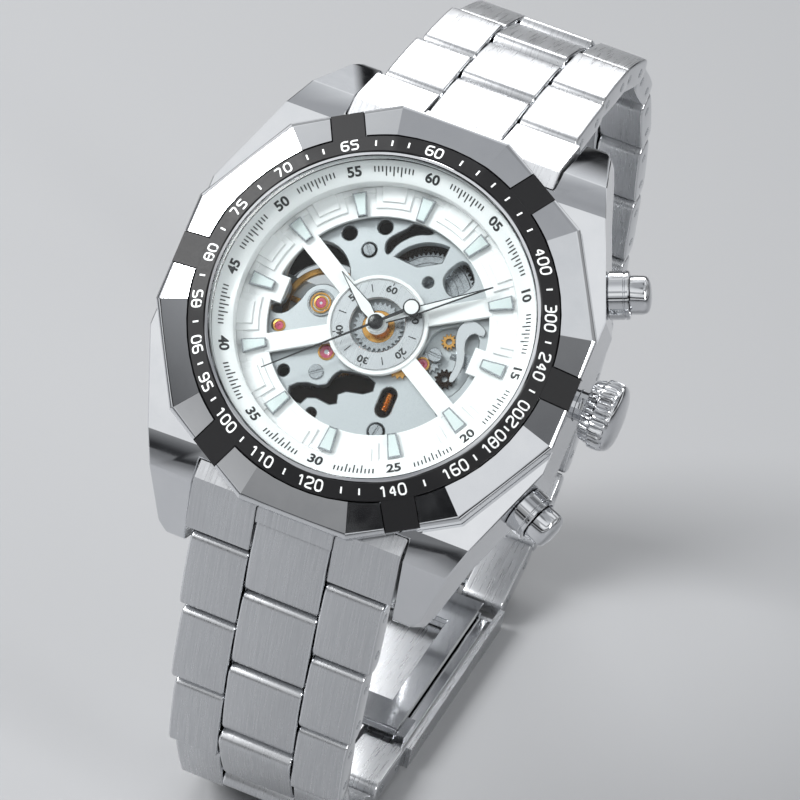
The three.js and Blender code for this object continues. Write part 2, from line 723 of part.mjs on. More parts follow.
// The setting lever and yoke of the keyless works lie on the plate beside the stem.
function makeSettingLever() {
  const z = [PLATE_TOP + 0.05, PLATE_TOP + 0.35];
  const arm = [
    [7.4, 3.2],
    [8.6, 4],
    [10.2, 3.4],
    [10, 2.6],
    [8.9, 2.8],
    [8.4, 1.6],
    [9.4, -0.4],
    [9, -2.6],
    [8.3, -2.6],
    [8.6, -0.6],
    [7.4, 1.6],
  ];
  return prism(arm.reverse(), ...z);
}

// ---- Bracelet ----

const END_R = PITCH / 4 - LINK_GAP / 2; // a piece's rounded end, about its pin
const END_LEAN = (Math.asin(LINK_HALF / END_R) * 180) / Math.PI;

// A bar across the bracelet: its section has round ends about pins at s = from and s = to. Here s runs
// along the bracelet in +Y and the outer face looks to +Z; the bar spans x0 to x1.
function bar(from, to, x0, x1) {
  const section = [
    ...arc(to, 0, END_R, -END_LEAN, END_LEAN, 3),
    ...arc(from, 0, END_R, 180 - END_LEAN, 180 + END_LEAN, 3),
  ];
  return prism(section, x0, x1).rotate([90, 0, 90]);
}

// A pin along X at s.
const crossPin = (s, r, half, t = 0) =>
  layOver(post(r, -half, half, [0, 0], 6), 0).translate([0, s, t]);

const CENTRE_HALF = CENTRE_WIDTH / 2;

// One link. Its origin is its hinge: the centre piece turns there on the pin of the link before it.
function makeLink(width) {
  const half = width / 2;
  const centre = bar(0, PITCH / 2, -CENTRE_HALF, CENTRE_HALF);
  const outer = bar(PITCH / 2, PITCH, CENTRE_HALF + SIDE_GAP, half);
  const other = bar(PITCH / 2, PITCH, -half, -CENTRE_HALF - SIDE_GAP);
  const bore = crossPin(0, PIN_BORE_R, half);
  const fixed = crossPin(PITCH / 2, PIN_R, half - 0.6);
  const hinge = crossPin(PITCH, PIN_R, half - 0.6);
  return join(cut(centre, bore), outer, other, fixed, hinge);
}

// The end link fills the gap between the lugs and carries the first hinge on its own pin.
function makeEndLink(sign) {
  const root = BACK_R + 0.9 + GAP;
  const along = (d, t) => [
    END_PIN[0] + d * END_DIR[0] - t * END_DIR[1],
    END_PIN[1] + d * END_DIR[1] + t * END_DIR[0],
  ];
  const outline = [
    [root, CASE_TOP - 0.5],
    [END_TOP[0] - 0.8, BEZEL_FOOT - GAP - 0.6],
    END_TOP,
    along(PIN_TO_END - 0.6, LINK_HALF),
    along(PIN_TO_END - 0.1, 0.9),
    along(PIN_TO_END - 0.1, -0.9),
    along(PIN_TO_END - 0.6, -LINK_HALF),
    along(0, -LINK_HALF),
    [root, END_PIN[1] - 1.2],
  ];
  const half = LUG_SPAN / 2 - 0.15;
  const block = prism([...outline].reverse(), -half, half).rotate([90, 0, 90]);
  const pinAt = [0, END_PIN[0], END_PIN[1]];
  const degrees = (END_SLOPE * 180) / Math.PI;
  const roomSection = [
    [PIN_TO_END + 4, -4],
    [PIN_TO_END + 4, 4],
    [0, 4],
    ...arc(0, 0, END_R + LINK_GAP, 90 + 50, 270 - 50, 4),
    [0, -4],
  ];
  const slotHalf = CENTRE_HALF + SIDE_GAP;
  const room = prism(roomSection, -slotHalf, slotHalf)
    .rotate([90, 0, 90])
    .rotate([degrees, 0, 0])
    .translate(pinAt);
  const pin = crossPin(0, PIN_R, half - 0.6).translate(pinAt);
  const bore = barAlongX(BAR_R + GAP, 30, 1);
  const made = cut(join(cut(block, room), pin), bore);
  return sign > 0 ? made : made.mirror([0, 1, 0]);
}

// ---- The chain's route in the plane across the bracelet ----

// A head point [y, z] as [u, h]: u runs back (+Y of the part) and h up, from the dial's centre.
function toPlane([y, z]) {
  const c = Math.cos(radians(HEAD_TILT));
  const s = Math.sin(radians(HEAD_TILT));
  return [c * y - s * z, s * y + c * z];
}

// Walks from a pin through links of the given directions.
function walk(start, directions) {
  const pins = [start];
  for (const d of directions) {
    const [u, h] = pins[pins.length - 1];
    pins.push([u + PITCH * Math.cos(radians(d)), h + PITCH * Math.sin(radians(d))]);
  }
  return pins;
}

const PIN_12 = toPlane(END_PIN);
const PIN_6 = toPlane([-END_PIN[0], END_PIN[1]]);

// The six o'clock side comes down from the case and ends level, where the clasp lies.
function sixSide() {
  let at = -TURNS_6.reduce((a, b) => a + b);
  const directions = [at, ...TURNS_6.slice(0, -1).map((turn) => (at += turn))];
  return { directions, pins: walk(PIN_6, directions) };
}

const six = sixSide();
const CLASP_PIN = six.pins[six.pins.length - 1];
const CLASP_END = [CLASP_PIN[0] + CLASP_LENGTH, CLASP_PIN[1] + CLASP_RISE];

// The twelve o'clock side has a first direction and a scale on its turns, found by Newton's method,
// that bring its last pin to the clasp's far end.
function twelveSide() {
  const sums = [0, ...TURNS_12.map((_, i) => TURNS_12.slice(0, i + 1).reduce((a, b) => a + b))];
  const directionsFor = (start, scale) => sums.map((sum) => start + scale * sum);
  const miss = (start, scale) => {
    const pins = walk(PIN_12, directionsFor(start, scale));
    const last = pins[pins.length - 1];
    return [last[0] - CLASP_END[0], last[1] - CLASP_END[1]];
  };
  let start = 0;
  let scale = 1;
  const step = 1e-4;
  for (let i = 0; i < 30; i++) {
    const [a, b] = miss(start, scale);
    const [a1, b1] = miss(start + step, scale);
    const [a2, b2] = miss(start, scale + step);
    const j = [(a1 - a) / step, (a2 - a) / step, (b1 - b) / step, (b2 - b) / step];
    const det = j[0] * j[3] - j[1] * j[2];
    start -= (a * j[3] - b * j[1]) / det;
    scale -= (b * j[0] - a * j[2]) / det;
  }
  const directions = directionsFor(start, scale);
  return { directions, pins: walk(PIN_12, directions) };
}

const twelve = twelveSide();

const ORIGIN = [CLASP_PIN[0] + CLASP_LENGTH / 2, CLASP_PIN[1] - CLASP_DROP];

// Places a piece drawn in the link frame: s along +Y, outer face to +Z. On the 12 o'clock side the
// chain runs back and down with its outer face out; the 6 o'clock side is the same, turned round X.
function placeOnChain(mesh, [u, h], direction, flip) {
  mesh.position.set(0, u - ORIGIN[0], h - ORIGIN[1]);
  mesh.rotation.set(radians(direction), 0, 0);
  if (flip) mesh.scale.z = -1;
}

// Width of a link, narrowing over the first TAPER_LINKS.
function linkWidth(i) {
  const t = Math.min(1, (i + 1) / TAPER_LINKS);
  return END_WIDTH - 0.4 - (END_WIDTH - 0.4 - CLASP_LINK_WIDTH) * t;
}

function addLinks(side, chain, flip) {
  chain.directions.forEach((direction, i) => {
    const name = `link_${side}_${String(i + 1).padStart(2, "0")}`;
    const made = piece(watch, name, makeLink(linkWidth(i)), BRUSHED);
    placeOnChain(made, chain.pins[i], direction, flip);
  });
}

// ---- Clasp, drawn with s along +Y from its first pin and its inner side to +Z ----

const COVER_FROM = PIN_TO_END + 0.15;
const COVER_TO = CLASP_LENGTH - COVER_FROM;
const COVER_FLOOR = 0.7; // thickness of the cover's flat
const BLADE_LOW = -CLASP_DROP + COVER_FLOOR + 0.15;
const BLADE_HIGH = CLASP_RISE - 0.45;
const KNUCKLE_B = [COVER_TO - 1.2, BLADE_LOW + KNUCKLE_R - GAP];
const KNUCKLE_A = [COVER_FROM + 2, BLADE_HIGH];

function makeClaspCover() {
  const half = CLASP_WIDTH / 2;
  const flat = box([-half, COVER_FROM, -CLASP_DROP], [half, COVER_TO, -CLASP_DROP + COVER_FLOOR]);
  const wall = (sign) => {
    const [a, b] = [sign * half, sign * (half - CLASP_WALL)].sort((p, q) => p - q);
    return box([a, COVER_FROM, -CLASP_DROP], [b, COVER_TO, 0.9]);
  };
  const tongueHalf = CENTRE_HALF - SIDE_GAP;
  const nose = bar(0, 1, -tongueHalf, tongueHalf);
  const heel = box([-tongueHalf, 0.4, -CLASP_DROP], [tongueHalf, COVER_FROM + 0.6, 0]);
  const room = box([-tongueHalf - 1, COVER_FROM + 0.6, -CLASP_DROP + COVER_FLOOR], [tongueHalf + 1, 9, 3]);
  const notch = box([-4.4, COVER_TO - 2, -9], [4.4, COVER_TO + 9, 9]);
  const body = join(flat, wall(1), wall(-1), cut(join(nose, heel), room));
  const pin = crossPin(KNUCKLE_B[0], BLADE_PIN_R, half - 0.3, KNUCKLE_B[1]);
  return join(cut(body, crossPin(0, PIN_BORE_R, half), notch), pin);
}

function makeMiddleBlade() {
  const half = BLADE_WIDTH / 2;
  const low = BLADE_LOW;
  const plate = box([-half, KNUCKLE_A[0] + 1.6, low], [half, KNUCKLE_B[0] - 0.3, low + BLADE_THICK]);
  const window = box([-half + 2.6, KNUCKLE_A[0] + 5, -9], [half - 2.6, KNUCKLE_B[0] - 4, 9]);
  const knuckle = crossPin(KNUCKLE_B[0], KNUCKLE_R, half - 1, KNUCKLE_B[1]);
  const ear = (sign) => {
    const [a, b] = [sign * half, sign * (half - 1)].sort((p, q) => p - q);
    return box([a, KNUCKLE_A[0] - 0.7, low], [b, KNUCKLE_A[0] + 3, KNUCKLE_A[1] + 0.6]);
  };
  const body = cut(join(plate, knuckle), crossPin(KNUCKLE_B[0], BLADE_PIN_R + 0.1, 20, KNUCKLE_B[1]), window);
  return join(body, ear(1), ear(-1), crossPin(KNUCKLE_A[0], BLADE_PIN_R, half - 0.3, KNUCKLE_A[1]));
}

function makeInnerBlade() {
  const half = BLADE_WIDTH / 2 - 1.2;
  const low = KNUCKLE_B[1] + KNUCKLE_R + GAP;
  const tip = CLASP_LENGTH - PIN_R - 0.5;
  const plate = box([-half, KNUCKLE_A[0] + 0.3, low], [half, COVER_TO - 0.2, low + BLADE_THICK]);
  const hook = box([-CENTRE_HALF + 0.4, COVER_TO - 1, low], [CENTRE_HALF - 0.4, tip, low + BLADE_THICK]);
  const knuckle = crossPin(KNUCKLE_A[0], KNUCKLE_R, half, KNUCKLE_A[1]);
  const window = box([-half + 2.4, KNUCKLE_A[0] + 5, -9], [half - 2.4, COVER_TO - 6, 9]);
  return cut(join(plate, hook, knuckle), crossPin(KNUCKLE_A[0], BLADE_PIN_R + 0.1, 20, KNUCKLE_A[1]), window);
}

function addClasp() {
  const clasp = new THREE.Group();
  clasp.position.set(0, CLASP_PIN[0] - ORIGIN[0], CLASP_PIN[1] - ORIGIN[1]);
  piece(clasp, "clasp_cover", makeClaspCover(), BRUSHED);
  piece(clasp, "clasp_middle_blade", makeMiddleBlade(), POLISHED);
  piece(clasp, "clasp_inner_blade", makeInnerBlade(), POLISHED);
  watch.add(clasp);
}

// ---- Assembly ----

head.rotation.x = radians(HEAD_TILT);
head.position.set(0, -ORIGIN[0], -ORIGIN[1]);

piece(head, "case_middle", makeCase(), POLISHED);
piece(head, "bezel", makeBezel(), POLISHED);
piece(head, "bezel_insert", makeInsert(), BLACK);
piece(head, "crystal", makeCrystal(), GLASS);
piece(head, "flange_ring", makeFlange(), WHITE);
piece(head, "case_back", makeBack(), POLISHED);
piece(head, "back_crystal", backGlass(), GLASS);
piece(head, "crown_tube", makeTube(), POLISHED);
piece(head, "crown", makeCrown(), POLISHED);
piece(head, "winding_stem", makeStem(), POLISHED);
piece(head, "crown_gasket", makeGasket(), RUBBER);
piece(head, "pusher_collar_2", makeCollar(1), POLISHED);
piece(head, "pusher_collar_4", makeCollar(-1), POLISHED);
piece(head, "pusher_2", makePusher(1), POLISHED);
piece(head, "pusher_4", makePusher(-1), POLISHED);
piece(head, "dial", makeDial(), WHITE);
piece(head, "centre_disc", makeCentreDisc(), BRUSHED);
piece(head, "hour_hand", makeHourHand(), WHITE);
piece(head, "minute_hand", makeMinuteHand(), WHITE);
piece(head, "seconds_hand", makeSecondsHand(), BLACK);
piece(head, "main_plate", makePlate(), FROSTED);
piece(head, "hour_wheel", makeHourWheel(), BRASS);
piece(head, "minute_wheel", makeMinuteWheel(), BRASS);
piece(head, "setting_lever", makeSettingLever(), POLISHED);
piece(head, "centre_wheel", makeCentreWheel(), BRASS);
piece(head, "fourth_wheel", makeFourthWheel(), BRASS);
piece(head, "third_wheel", wheel(THIRD_AT, 2.6, 28, ...THIRD_Z, 0.25, TRAIN_FOOT, TRAIN_HEAD), BRASS);
piece(head, "escape_wheel", wheel(ESCAPE_AT, 1.7, 15, ...ESCAPE_Z, 0.2, TRAIN_FOOT, TRAIN_HEAD), POLISHED);
piece(head, "pallet_fork", makePallet(), POLISHED);
piece(head, "balance_wheel", makeBalance(), BRASS);
piece(head, "balance_cock", makeCock(), FROSTED);
piece(head, "barrel", makeBarrel(), FROSTED);
piece(head, "ratchet_wheel", makeRatchet(), POLISHED);
piece(head, "train_bridge", makeBridge(), FROSTED);
piece(head, "rotor", makeRotor(), FROSTED);
piece(head, "end_link_12", makeEndLink(1), BRUSHED);
piece(head, "end_link_6", makeEndLink(-1), BRUSHED);
piece(head, "spring_bar_12", springBar(1), POLISHED);
piece(head, "spring_bar_6", springBar(-1), POLISHED);

addLinks("12", twelve, false);
addLinks("6", six, true);
addClasp();

export default watch;
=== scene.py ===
import json
import math

import bmesh
import bpy
import numpy as np
from mathutils import Matrix, Vector


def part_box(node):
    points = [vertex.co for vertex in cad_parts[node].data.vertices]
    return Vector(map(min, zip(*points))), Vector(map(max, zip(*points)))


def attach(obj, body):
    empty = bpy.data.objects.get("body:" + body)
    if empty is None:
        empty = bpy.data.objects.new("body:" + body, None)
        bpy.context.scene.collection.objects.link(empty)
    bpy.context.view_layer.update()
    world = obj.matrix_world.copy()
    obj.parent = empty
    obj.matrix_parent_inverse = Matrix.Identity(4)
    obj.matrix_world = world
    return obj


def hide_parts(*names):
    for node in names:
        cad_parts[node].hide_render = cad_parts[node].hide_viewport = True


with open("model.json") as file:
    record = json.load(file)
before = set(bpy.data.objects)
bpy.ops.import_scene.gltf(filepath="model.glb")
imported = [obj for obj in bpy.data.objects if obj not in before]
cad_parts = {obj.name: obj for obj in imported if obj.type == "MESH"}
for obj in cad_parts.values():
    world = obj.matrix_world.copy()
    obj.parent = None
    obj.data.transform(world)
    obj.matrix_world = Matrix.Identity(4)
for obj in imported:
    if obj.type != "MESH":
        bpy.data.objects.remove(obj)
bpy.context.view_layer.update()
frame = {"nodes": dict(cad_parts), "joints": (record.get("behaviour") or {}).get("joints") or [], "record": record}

# Skeleton wristwatch. Shapes are worked out in millimetres and put in place in metres.
MM = 0.001
JOINTS = {joint["name"]: joint for joint in frame["joints"]}
NODES = frame["nodes"]


def pin(joint):
    """The point of a joint, in metres."""
    return np.array(JOINTS[joint]["pos_m"], dtype=float)


# ---- Frames ----

# The head's frame: X to 3 o'clock, Y to 12 o'clock, Z out of the dial, from the hands' axis.
CENTRE = pin("seconds_spin")
OUT = -np.array(JOINTS["seconds_spin"]["axis"], dtype=float)
EAST = np.array([1.0, 0.0, 0.0])
NORTH = np.cross(OUT, EAST)


def placing(origin, x, y, z):
    """The matrix that takes millimetres along three axes to metres in the frame."""
    made = Matrix.Identity(4)
    for column, axis in enumerate((x, y, z)):
        for row in range(3):
            made[row][column] = float(axis[row]) * MM
    for row in range(3):
        made[row][3] = float(origin[row])
    return made


HEAD = placing(CENTRE, EAST, NORTH, OUT)


def head_point(x, y, z):
    """A head point in millimetres as metres in the frame."""
    return CENTRE + MM * (x * EAST + y * NORTH + z * OUT)


def head_axis_frame(point, degrees):
    """A frame whose Z runs outwards over the dial's plane at an angle from 3 o'clock."""
    a = math.radians(degrees)
    along = math.cos(a) * EAST + math.sin(a) * NORTH
    across = -math.sin(a) * EAST + math.cos(a) * NORTH
    return placing(head_point(*point), across, OUT, along)


# ---- Camera, floor and lights ----

CAMERA_AT = (0.0880, -0.3825, 0.2799)
VIEW = Vector((-0.1992, 0.8246, -0.5298)).normalized()
CAMERA_UP = Vector((-0.3486, 0.4457, 0.8248))
LENS = 193.5


def add_camera():
    """The camera at the usual three-quarter view, leaning a little."""
    data = bpy.data.cameras.new("camera")
    data.lens = LENS
    data.sensor_width = 36
    data.clip_start = 0.01
    camera = bpy.data.objects.new("camera", data)
    bpy.context.scene.collection.objects.link(camera)
    back = -VIEW
    right = CAMERA_UP.cross(back).normalized()
    up = back.cross(right)
    turn = Matrix((right, up, back)).transposed().to_4x4()
    camera.matrix_world = Matrix.Translation(CAMERA_AT) @ turn
    bpy.context.scene.camera = camera


add_camera()


def linear(code):
    """An sRGB hex colour as linear red, green, blue and alpha."""
    parts = [int(code[i : i + 2], 16) / 255 for i in (1, 3, 5)]
    return [p / 12.92 if p <= 0.04045 else ((p + 0.055) / 1.055) ** 2.4 for p in parts] + [1.0]


def add(tree, kind, settings=None, links=None):
    """Adds a shader node, sets its properties or sockets by name, and links sockets to outputs."""
    node = tree.nodes.new(kind)
    for key, value in (settings or {}).items():
        if isinstance(key, int) or key in node.inputs:
            node.inputs[key].default_value = value
        else:
            setattr(node, key, value)
    for key, output in (links or {}).items():
        tree.links.new(output, node.inputs[key])
    return node


def new_material(name):
    """An empty material and its tree."""
    made = bpy.data.materials.new(name)
    made.use_nodes = True
    made.node_tree.nodes.clear()
    return made, made.node_tree


def surface(name, colour, metallic, roughness, spread, grain, relief, tint, **own):
    """A shader whose roughness, colour and relief vary with one noise of a given grain in millimetres."""
    made, tree = new_material(name)
    where = add(tree, "ShaderNodeTexCoord")
    scale = tuple(1 / (g * MM) for g in grain)
    mapped = add(tree, "ShaderNodeMapping", {"Scale": scale}, {"Vector": where.outputs["Object"]})
    noise = add(
        tree, "ShaderNodeTexNoise", {"Scale": 1.0, "Detail": 3.0, "Roughness": 0.55},
        {"Vector": mapped.outputs["Vector"]},
    )
    rough = add(
        tree, "ShaderNodeMapRange",
        {"From Min": 0.25, "From Max": 0.75, "To Min": roughness - spread, "To Max": roughness + spread},
        {"Value": noise.outputs["Fac"]},
    )
    # Sockets 6 and 7 are the two colours that are mixed.
    hue = add(
        tree, "ShaderNodeMix", {"data_type": "RGBA", 6: linear(colour), 7: linear(tint)},
        {"Factor": noise.outputs["Fac"]},
    )
    bump = add(
        tree, "ShaderNodeBump", {"Strength": 1.0, "Distance": relief * MM},
        {"Height": noise.outputs["Fac"]},
    )
    shader = add(
        tree, "ShaderNodeBsdfPrincipled", {"Metallic": metallic, **own},
        {
            "Roughness": rough.outputs["Result"],
            "Base Color": hue.outputs[2],
            "Normal": bump.outputs["Normal"],
        },
    )
    add(tree, "ShaderNodeOutputMaterial", None, {"Surface": shader.outputs["BSDF"]})
    return made


def clear_glass(name):
    """Thin clear glass: light passes straight through, and a Fresnel share of it is mirrored."""
    made, tree = new_material(name)
    through = add(tree, "ShaderNodeBsdfTransparent", {"Color": linear("#fbfdfd")})
    mirrored = add(tree, "ShaderNodeBsdfGlossy", {"Color": linear("#ffffff"), "Roughness": 0.02})
    share = add(tree, "ShaderNodeFresnel", {"IOR": 1.25})
    mix = add(
        tree, "ShaderNodeMixShader", None,
        {0: share.outputs["Fac"], 1: through.outputs["BSDF"], 2: mirrored.outputs["BSDF"]},
    )
    add(tree, "ShaderNodeOutputMaterial", None, {"Surface": mix.outputs["Shader"]})
    return made


LOOKS = {
    # Mirror-polished stainless steel: clear reflections, with the faintest haze of wiping marks.
    "polished_steel": surface(
        "polished_stainless_steel", "#d9dadc", 1.0, 0.07, 0.025, (2.5, 2.5, 2.5), 0.0004, "#cfd1d4"
    ),
    # Stainless steel brushed lengthwise with a belt: the lines are 0.13 mm apart here, coarser than real.
    "brushed_steel": surface(
        "satin_brushed_stainless_steel", "#d3d4d6", 1.0, 0.31, 0.09, (0.13, 4.5, 4.5), 0.005, "#b4b6b9"
    ),
    # Satin black lacquer on the scale ring.
    "black_ring": surface(
        "satin_black_lacquer", "#0d0d0f", 0.0, 0.5, 0.06, (0.2, 0.2, 0.2), 0.001, "#131315",
        **{"Specular IOR Level": 0.3},
    ),
    # Mineral glass with an antireflective coat: clear, with a weak mirror image at a slant.
    "crystal_glass": clear_glass("clear_crystal_glass"),
    # White dial lacquer, level and glossy.
    "white_dial": surface(
        "gloss_white_dial_lacquer", "#fbfbfb", 0.0, 0.22, 0.05, (3, 3, 3), 0.0005, "#f7f7f7",
        **{"Coat Weight": 0.3},
    ),
    # Sprayed paint on the hands: even, with a soft shine.
    "white_hand": surface("white_hand_paint", "#f7f8f8", 0.0, 0.3, 0.05, (1, 1, 1), 0.0005, "#eef0f0"),
    "black_hand": surface("black_hand_paint", "#121214", 0.0, 0.32, 0.06, (0.4, 0.4, 0.4), 0.0005, "#1a1a1d"),
    # Sand-blasted nickel plate: a fine even frost, drawn at 0.12 mm so that it shows.
    "frosted_plate": surface(
        "frosted_nickel_plate", "#c2c5c7", 1.0, 0.4, 0.07, (0.12, 0.12, 0.12), 0.004, "#a9adb0"
    ),
    # Painted shade: a dark brown nickel for the bridge's side that faces the dial, standing in for the shadowed
    # depth seen through the windows.
    "painted_shade_nickel": surface(
        "painted_shade_brown_nickel", "#2c211b", 1.0, 0.4, 0.08, (0.6, 0.6, 0.6), 0.002, "#15100d"
    ),
    # Brass gilt and lightly brushed: warm, with a broad soft shine.
    "movement_brass": surface(
        "gilt_brass", "#d9a860", 1.0, 0.24, 0.06, (0.3, 0.3, 0.3), 0.001, "#c8914a"
    ),
    # Steel ground flat: grey, with a fine even grain.
    "movement_steel": surface(
        "ground_steel", "#bfc2c5", 1.0, 0.25, 0.07, (0.25, 0.25, 0.25), 0.0015, "#a4a8ac"
    ),
    # Moulded nitrile rubber: dull and dark.
    "black_rubber": surface(
        "black_nitrile_rubber", "#1c1c1c", 0.0, 0.7, 0.1, (0.15, 0.15, 0.15), 0.004, "#262626"
    ),
    # Copper flash on the cannon's collar.
    "copper": surface(
        "copper_plate", "#c8794f", 1.0, 0.2, 0.05, (0.4, 0.4, 0.4), 0.001, "#a85c38"
    ),
    # Synthetic ruby, polished.
    "ruby": surface(
        "synthetic_ruby", "#b0385a", 0.0, 0.08, 0.02, (0.5, 0.5, 0.5), 0.0, "#c75b77", **{"IOR": 1.76}
    ),
    # Pad-printed ink, matt, black on the dial and white on the ring.
    "black_print": surface(
        "black_dial_print", "#17181a", 0.0, 0.45, 0.05, (0.2, 0.2, 0.2), 0.0, "#202124"
    ),
    "white_print": surface(
        "white_ring_print", "#eceeee", 0.0, 0.45, 0.05, (0.2, 0.2, 0.2), 0.0, "#e2e5e5"
    ),
    # Pale lume set in the batons.
    "lume": surface("pale_lume", "#dde5e4", 0.0, 0.5, 0.06, (0.15, 0.15, 0.15), 0.002, "#d0dad9"),
}


# Bands of the surround, from the horizon (0) to overhead (1).
SKY_FOOT = (0.02, "#4a4b4e")
SKY_BANDS = (
    (0.08, "#b4b6b9"), (0.13, "#f0f1f2"), (0.20, "#131416"), (0.27, "#17181a"), (0.34, "#d9dbde"),
    (0.56, "#fbfcfc"), (0.66, "#8c8e92"), (0.74, "#f4f5f6"), (0.88, "#e4e6e8"),
)
SKY_TOP = (0.95, "#a9abae")
FLOOR_HALF = 3.0  # metres
LAMPS_AIM = (0, -0.02, 0.05)  # the point that every lamp faces, in metres
# Name, place in metres, width and height in metres, and power in watts.
LAMPS = (
    ("key", (-0.42, -0.20, 0.45), (0.30, 0.30), 6.0),
    ("strip", (0.45, -0.25, 0.35), (0.08, 0.40), 1.2),
    ("back", (-0.15, 0.50, 0.45), (0.40, 0.20), 1.6),
)


def add_stage():
    """A pale floor, a graded grey surround for the metal to mirror, and soft lamps."""
    made, tree = new_material("pale_floor")
    shader = add(tree, "ShaderNodeBsdfPrincipled", {"Base Color": linear("#8f9092"), "Roughness": 0.6})
    add(tree, "ShaderNodeOutputMaterial", None, {"Surface": shader.outputs["BSDF"]})
    mesh = bpy.data.meshes.new("floor")
    corners = [(x * FLOOR_HALF, y * FLOOR_HALF, 0) for x, y in ((-1, -1), (1, -1), (1, 1), (-1, 1))]
    mesh.from_pydata(corners, [], [(0, 1, 2, 3)])
    mesh.materials.append(made)
    floor = bpy.data.objects.new("floor", mesh)
    bpy.context.scene.collection.objects.link(floor)

    world = bpy.data.worlds.new("studio")
    bpy.context.scene.world = world
    world.use_nodes = True
    tree = world.node_tree
    tree.nodes.clear()
    where = add(tree, "ShaderNodeTexCoord")
    split = add(tree, "ShaderNodeSeparateXYZ", None, {"Vector": where.outputs["Generated"]})
    height = add(tree, "ShaderNodeValToRGB", None, {"Fac": split.outputs["Z"]})
    ramp = height.color_ramp
    for element, (position, code) in zip(ramp.elements, (SKY_FOOT, SKY_TOP)):
        element.position = position
        element.color = linear(code)
    for position, code in SKY_BANDS:
        ramp.elements.new(position).color = linear(code)
    # Broad soft shapes, darker and lighter, stand in for the rest of a room.
    room = add(
        tree, "ShaderNodeTexNoise", {"Scale": 2.3, "Detail": 1.0}, {"Vector": where.outputs["Generated"]}
    )
    shapes = add(
        tree, "ShaderNodeMapRange", {"From Min": 0.45, "From Max": 0.52, "To Min": 0.5, "To Max": 1.22},
        {"Value": room.outputs["Fac"]},
    )
    back = add(
        tree, "ShaderNodeBackground", None,
        {"Color": height.outputs["Color"], "Strength": shapes.outputs["Result"]},
    )
    # Seen directly, the surround is a plain pale backdrop.
    plain = add(tree, "ShaderNodeBackground", {"Color": linear("#c3c4c6"), "Strength": 1.0})
    path = add(tree, "ShaderNodeLightPath")
    either = add(
        tree, "ShaderNodeMixShader", None,
        {0: path.outputs["Is Camera Ray"], 1: back.outputs["Background"], 2: plain.outputs["Background"]},
    )
    add(tree, "ShaderNodeOutputWorld", None, {"Surface": either.outputs["Shader"]})

    for name, at, size, power in LAMPS:
        data = bpy.data.lights.new(name, "AREA")
        data.shape = "RECTANGLE"
        data.size, data.size_y = size
        data.energy = power
        lamp = bpy.data.objects.new(name, data)
        lamp.location = at
        aim = Vector(LAMPS_AIM) - Vector(at)
        lamp.rotation_euler = aim.to_track_quat("-Z", "Y").to_euler()
        bpy.context.scene.collection.objects.link(lamp)


add_stage()

# ---- Surfaces, each as (points, faces, look) ----


def sheet_faces(rows, columns, wrap_columns):
    """Quads between neighbouring rows and columns of a grid, turning round when it wraps."""
    last = columns if wrap_columns else columns - 1
    i, j = np.meshgrid(np.arange(rows - 1), np.arange(last), indexing="ij")
    k = (j + 1) % columns
    quads = np.stack([i * columns + j, i * columns + k, (i + 1) * columns + k, (i + 1) * columns + j], -1)
    return quads.reshape(-1, 4).tolist()


def tube_of(rings, look):
    """A closed body through rings of points, with a flat face at each end."""
    rows, columns, _ = rings.shape
    faces = sheet_faces(rows, columns, True)
    faces.append(list(range(columns))[::-1])
    faces.append([(rows - 1) * columns + j for j in range(columns)])
    return rings.reshape(-1, 3), faces, look


def turned(profile, look, steps=96, closed=False):
    """[radius, height] points turned about Z: (r cos a, r sin a, z). Open profiles get flat ends."""
    profile = np.array(profile, dtype=float)
    a = np.linspace(0, 2 * math.pi, steps, endpoint=False)
    r = profile[:, :1]
    z = np.broadcast_to(profile[:, 1:], (len(profile), steps))
    rings = np.stack([r * np.cos(a), r * np.sin(a), z], -1)
    if closed:
        rings = np.concatenate([rings, rings[:1]])
        return rings.reshape(-1, 3), sheet_faces(len(rings), steps, True), look
    return tube_of(rings, look)


def box_shape(low, high, look):
    """A plain block between two corners."""
    (x0, y0, z0), (x1, y1, z1) = low, high
    ring = np.array([(x0, y0), (x1, y0), (x1, y1), (x0, y1)])
    rings = np.stack([np.column_stack([ring, np.full(4, z)]) for z in (z0, z1)])
    return tube_of(rings, look)


def moved(shape, turn=0.0, by=(0, 0, 0)):
    """A shape turned about Z in degrees, anticlockwise, and then moved."""
    points, faces, look = shape
    a = math.radians(turn)
    c, s = math.cos(a), math.sin(a)
    turning = np.array([[c, s, 0], [-s, c, 0], [0, 0, 1]])
    return points @ turning + np.array(by, dtype=float), faces, look


def arc(x, y, r, start, end, steps=12):
    """Points on a circle about (x, y) between two angles in degrees."""
    a = np.radians(np.linspace(start, end, steps + 1))
    return np.column_stack([x + r * np.cos(a), y + r * np.sin(a)])


def circle(x, y, r, steps=40):
    """Points all round a circle about (x, y)."""
    return arc(x, y, r, 0, 360, steps)[:-1]


def soften(points, rounds=3):
    """Rounds a closed outline by cutting each corner a quarter of the way along its sides."""
    points = np.array(points, dtype=float)
    for _ in range(rounds):
        after = np.roll(points, -1, axis=0)
        points = np.stack([0.75 * points + 0.25 * after, 0.25 * points + 0.75 * after], 1).reshape(-1, 2)
    return points


def from_curve(data, look):
    """A flat curve or text as points and faces."""
    item = bpy.data.objects.new("outline", data)
    bpy.context.scene.collection.objects.link(item)
    bpy.context.view_layer.update()
    mesh = bpy.data.meshes.new_from_object(item.evaluated_get(bpy.context.evaluated_depsgraph_get()))
    points = np.empty(len(mesh.vertices) * 3)
    mesh.vertices.foreach_get("co", points)
    faces = [list(face.vertices) for face in mesh.polygons]
    bpy.data.objects.remove(item)
    bpy.data.meshes.remove(mesh)
    return points.reshape(-1, 3), faces, look


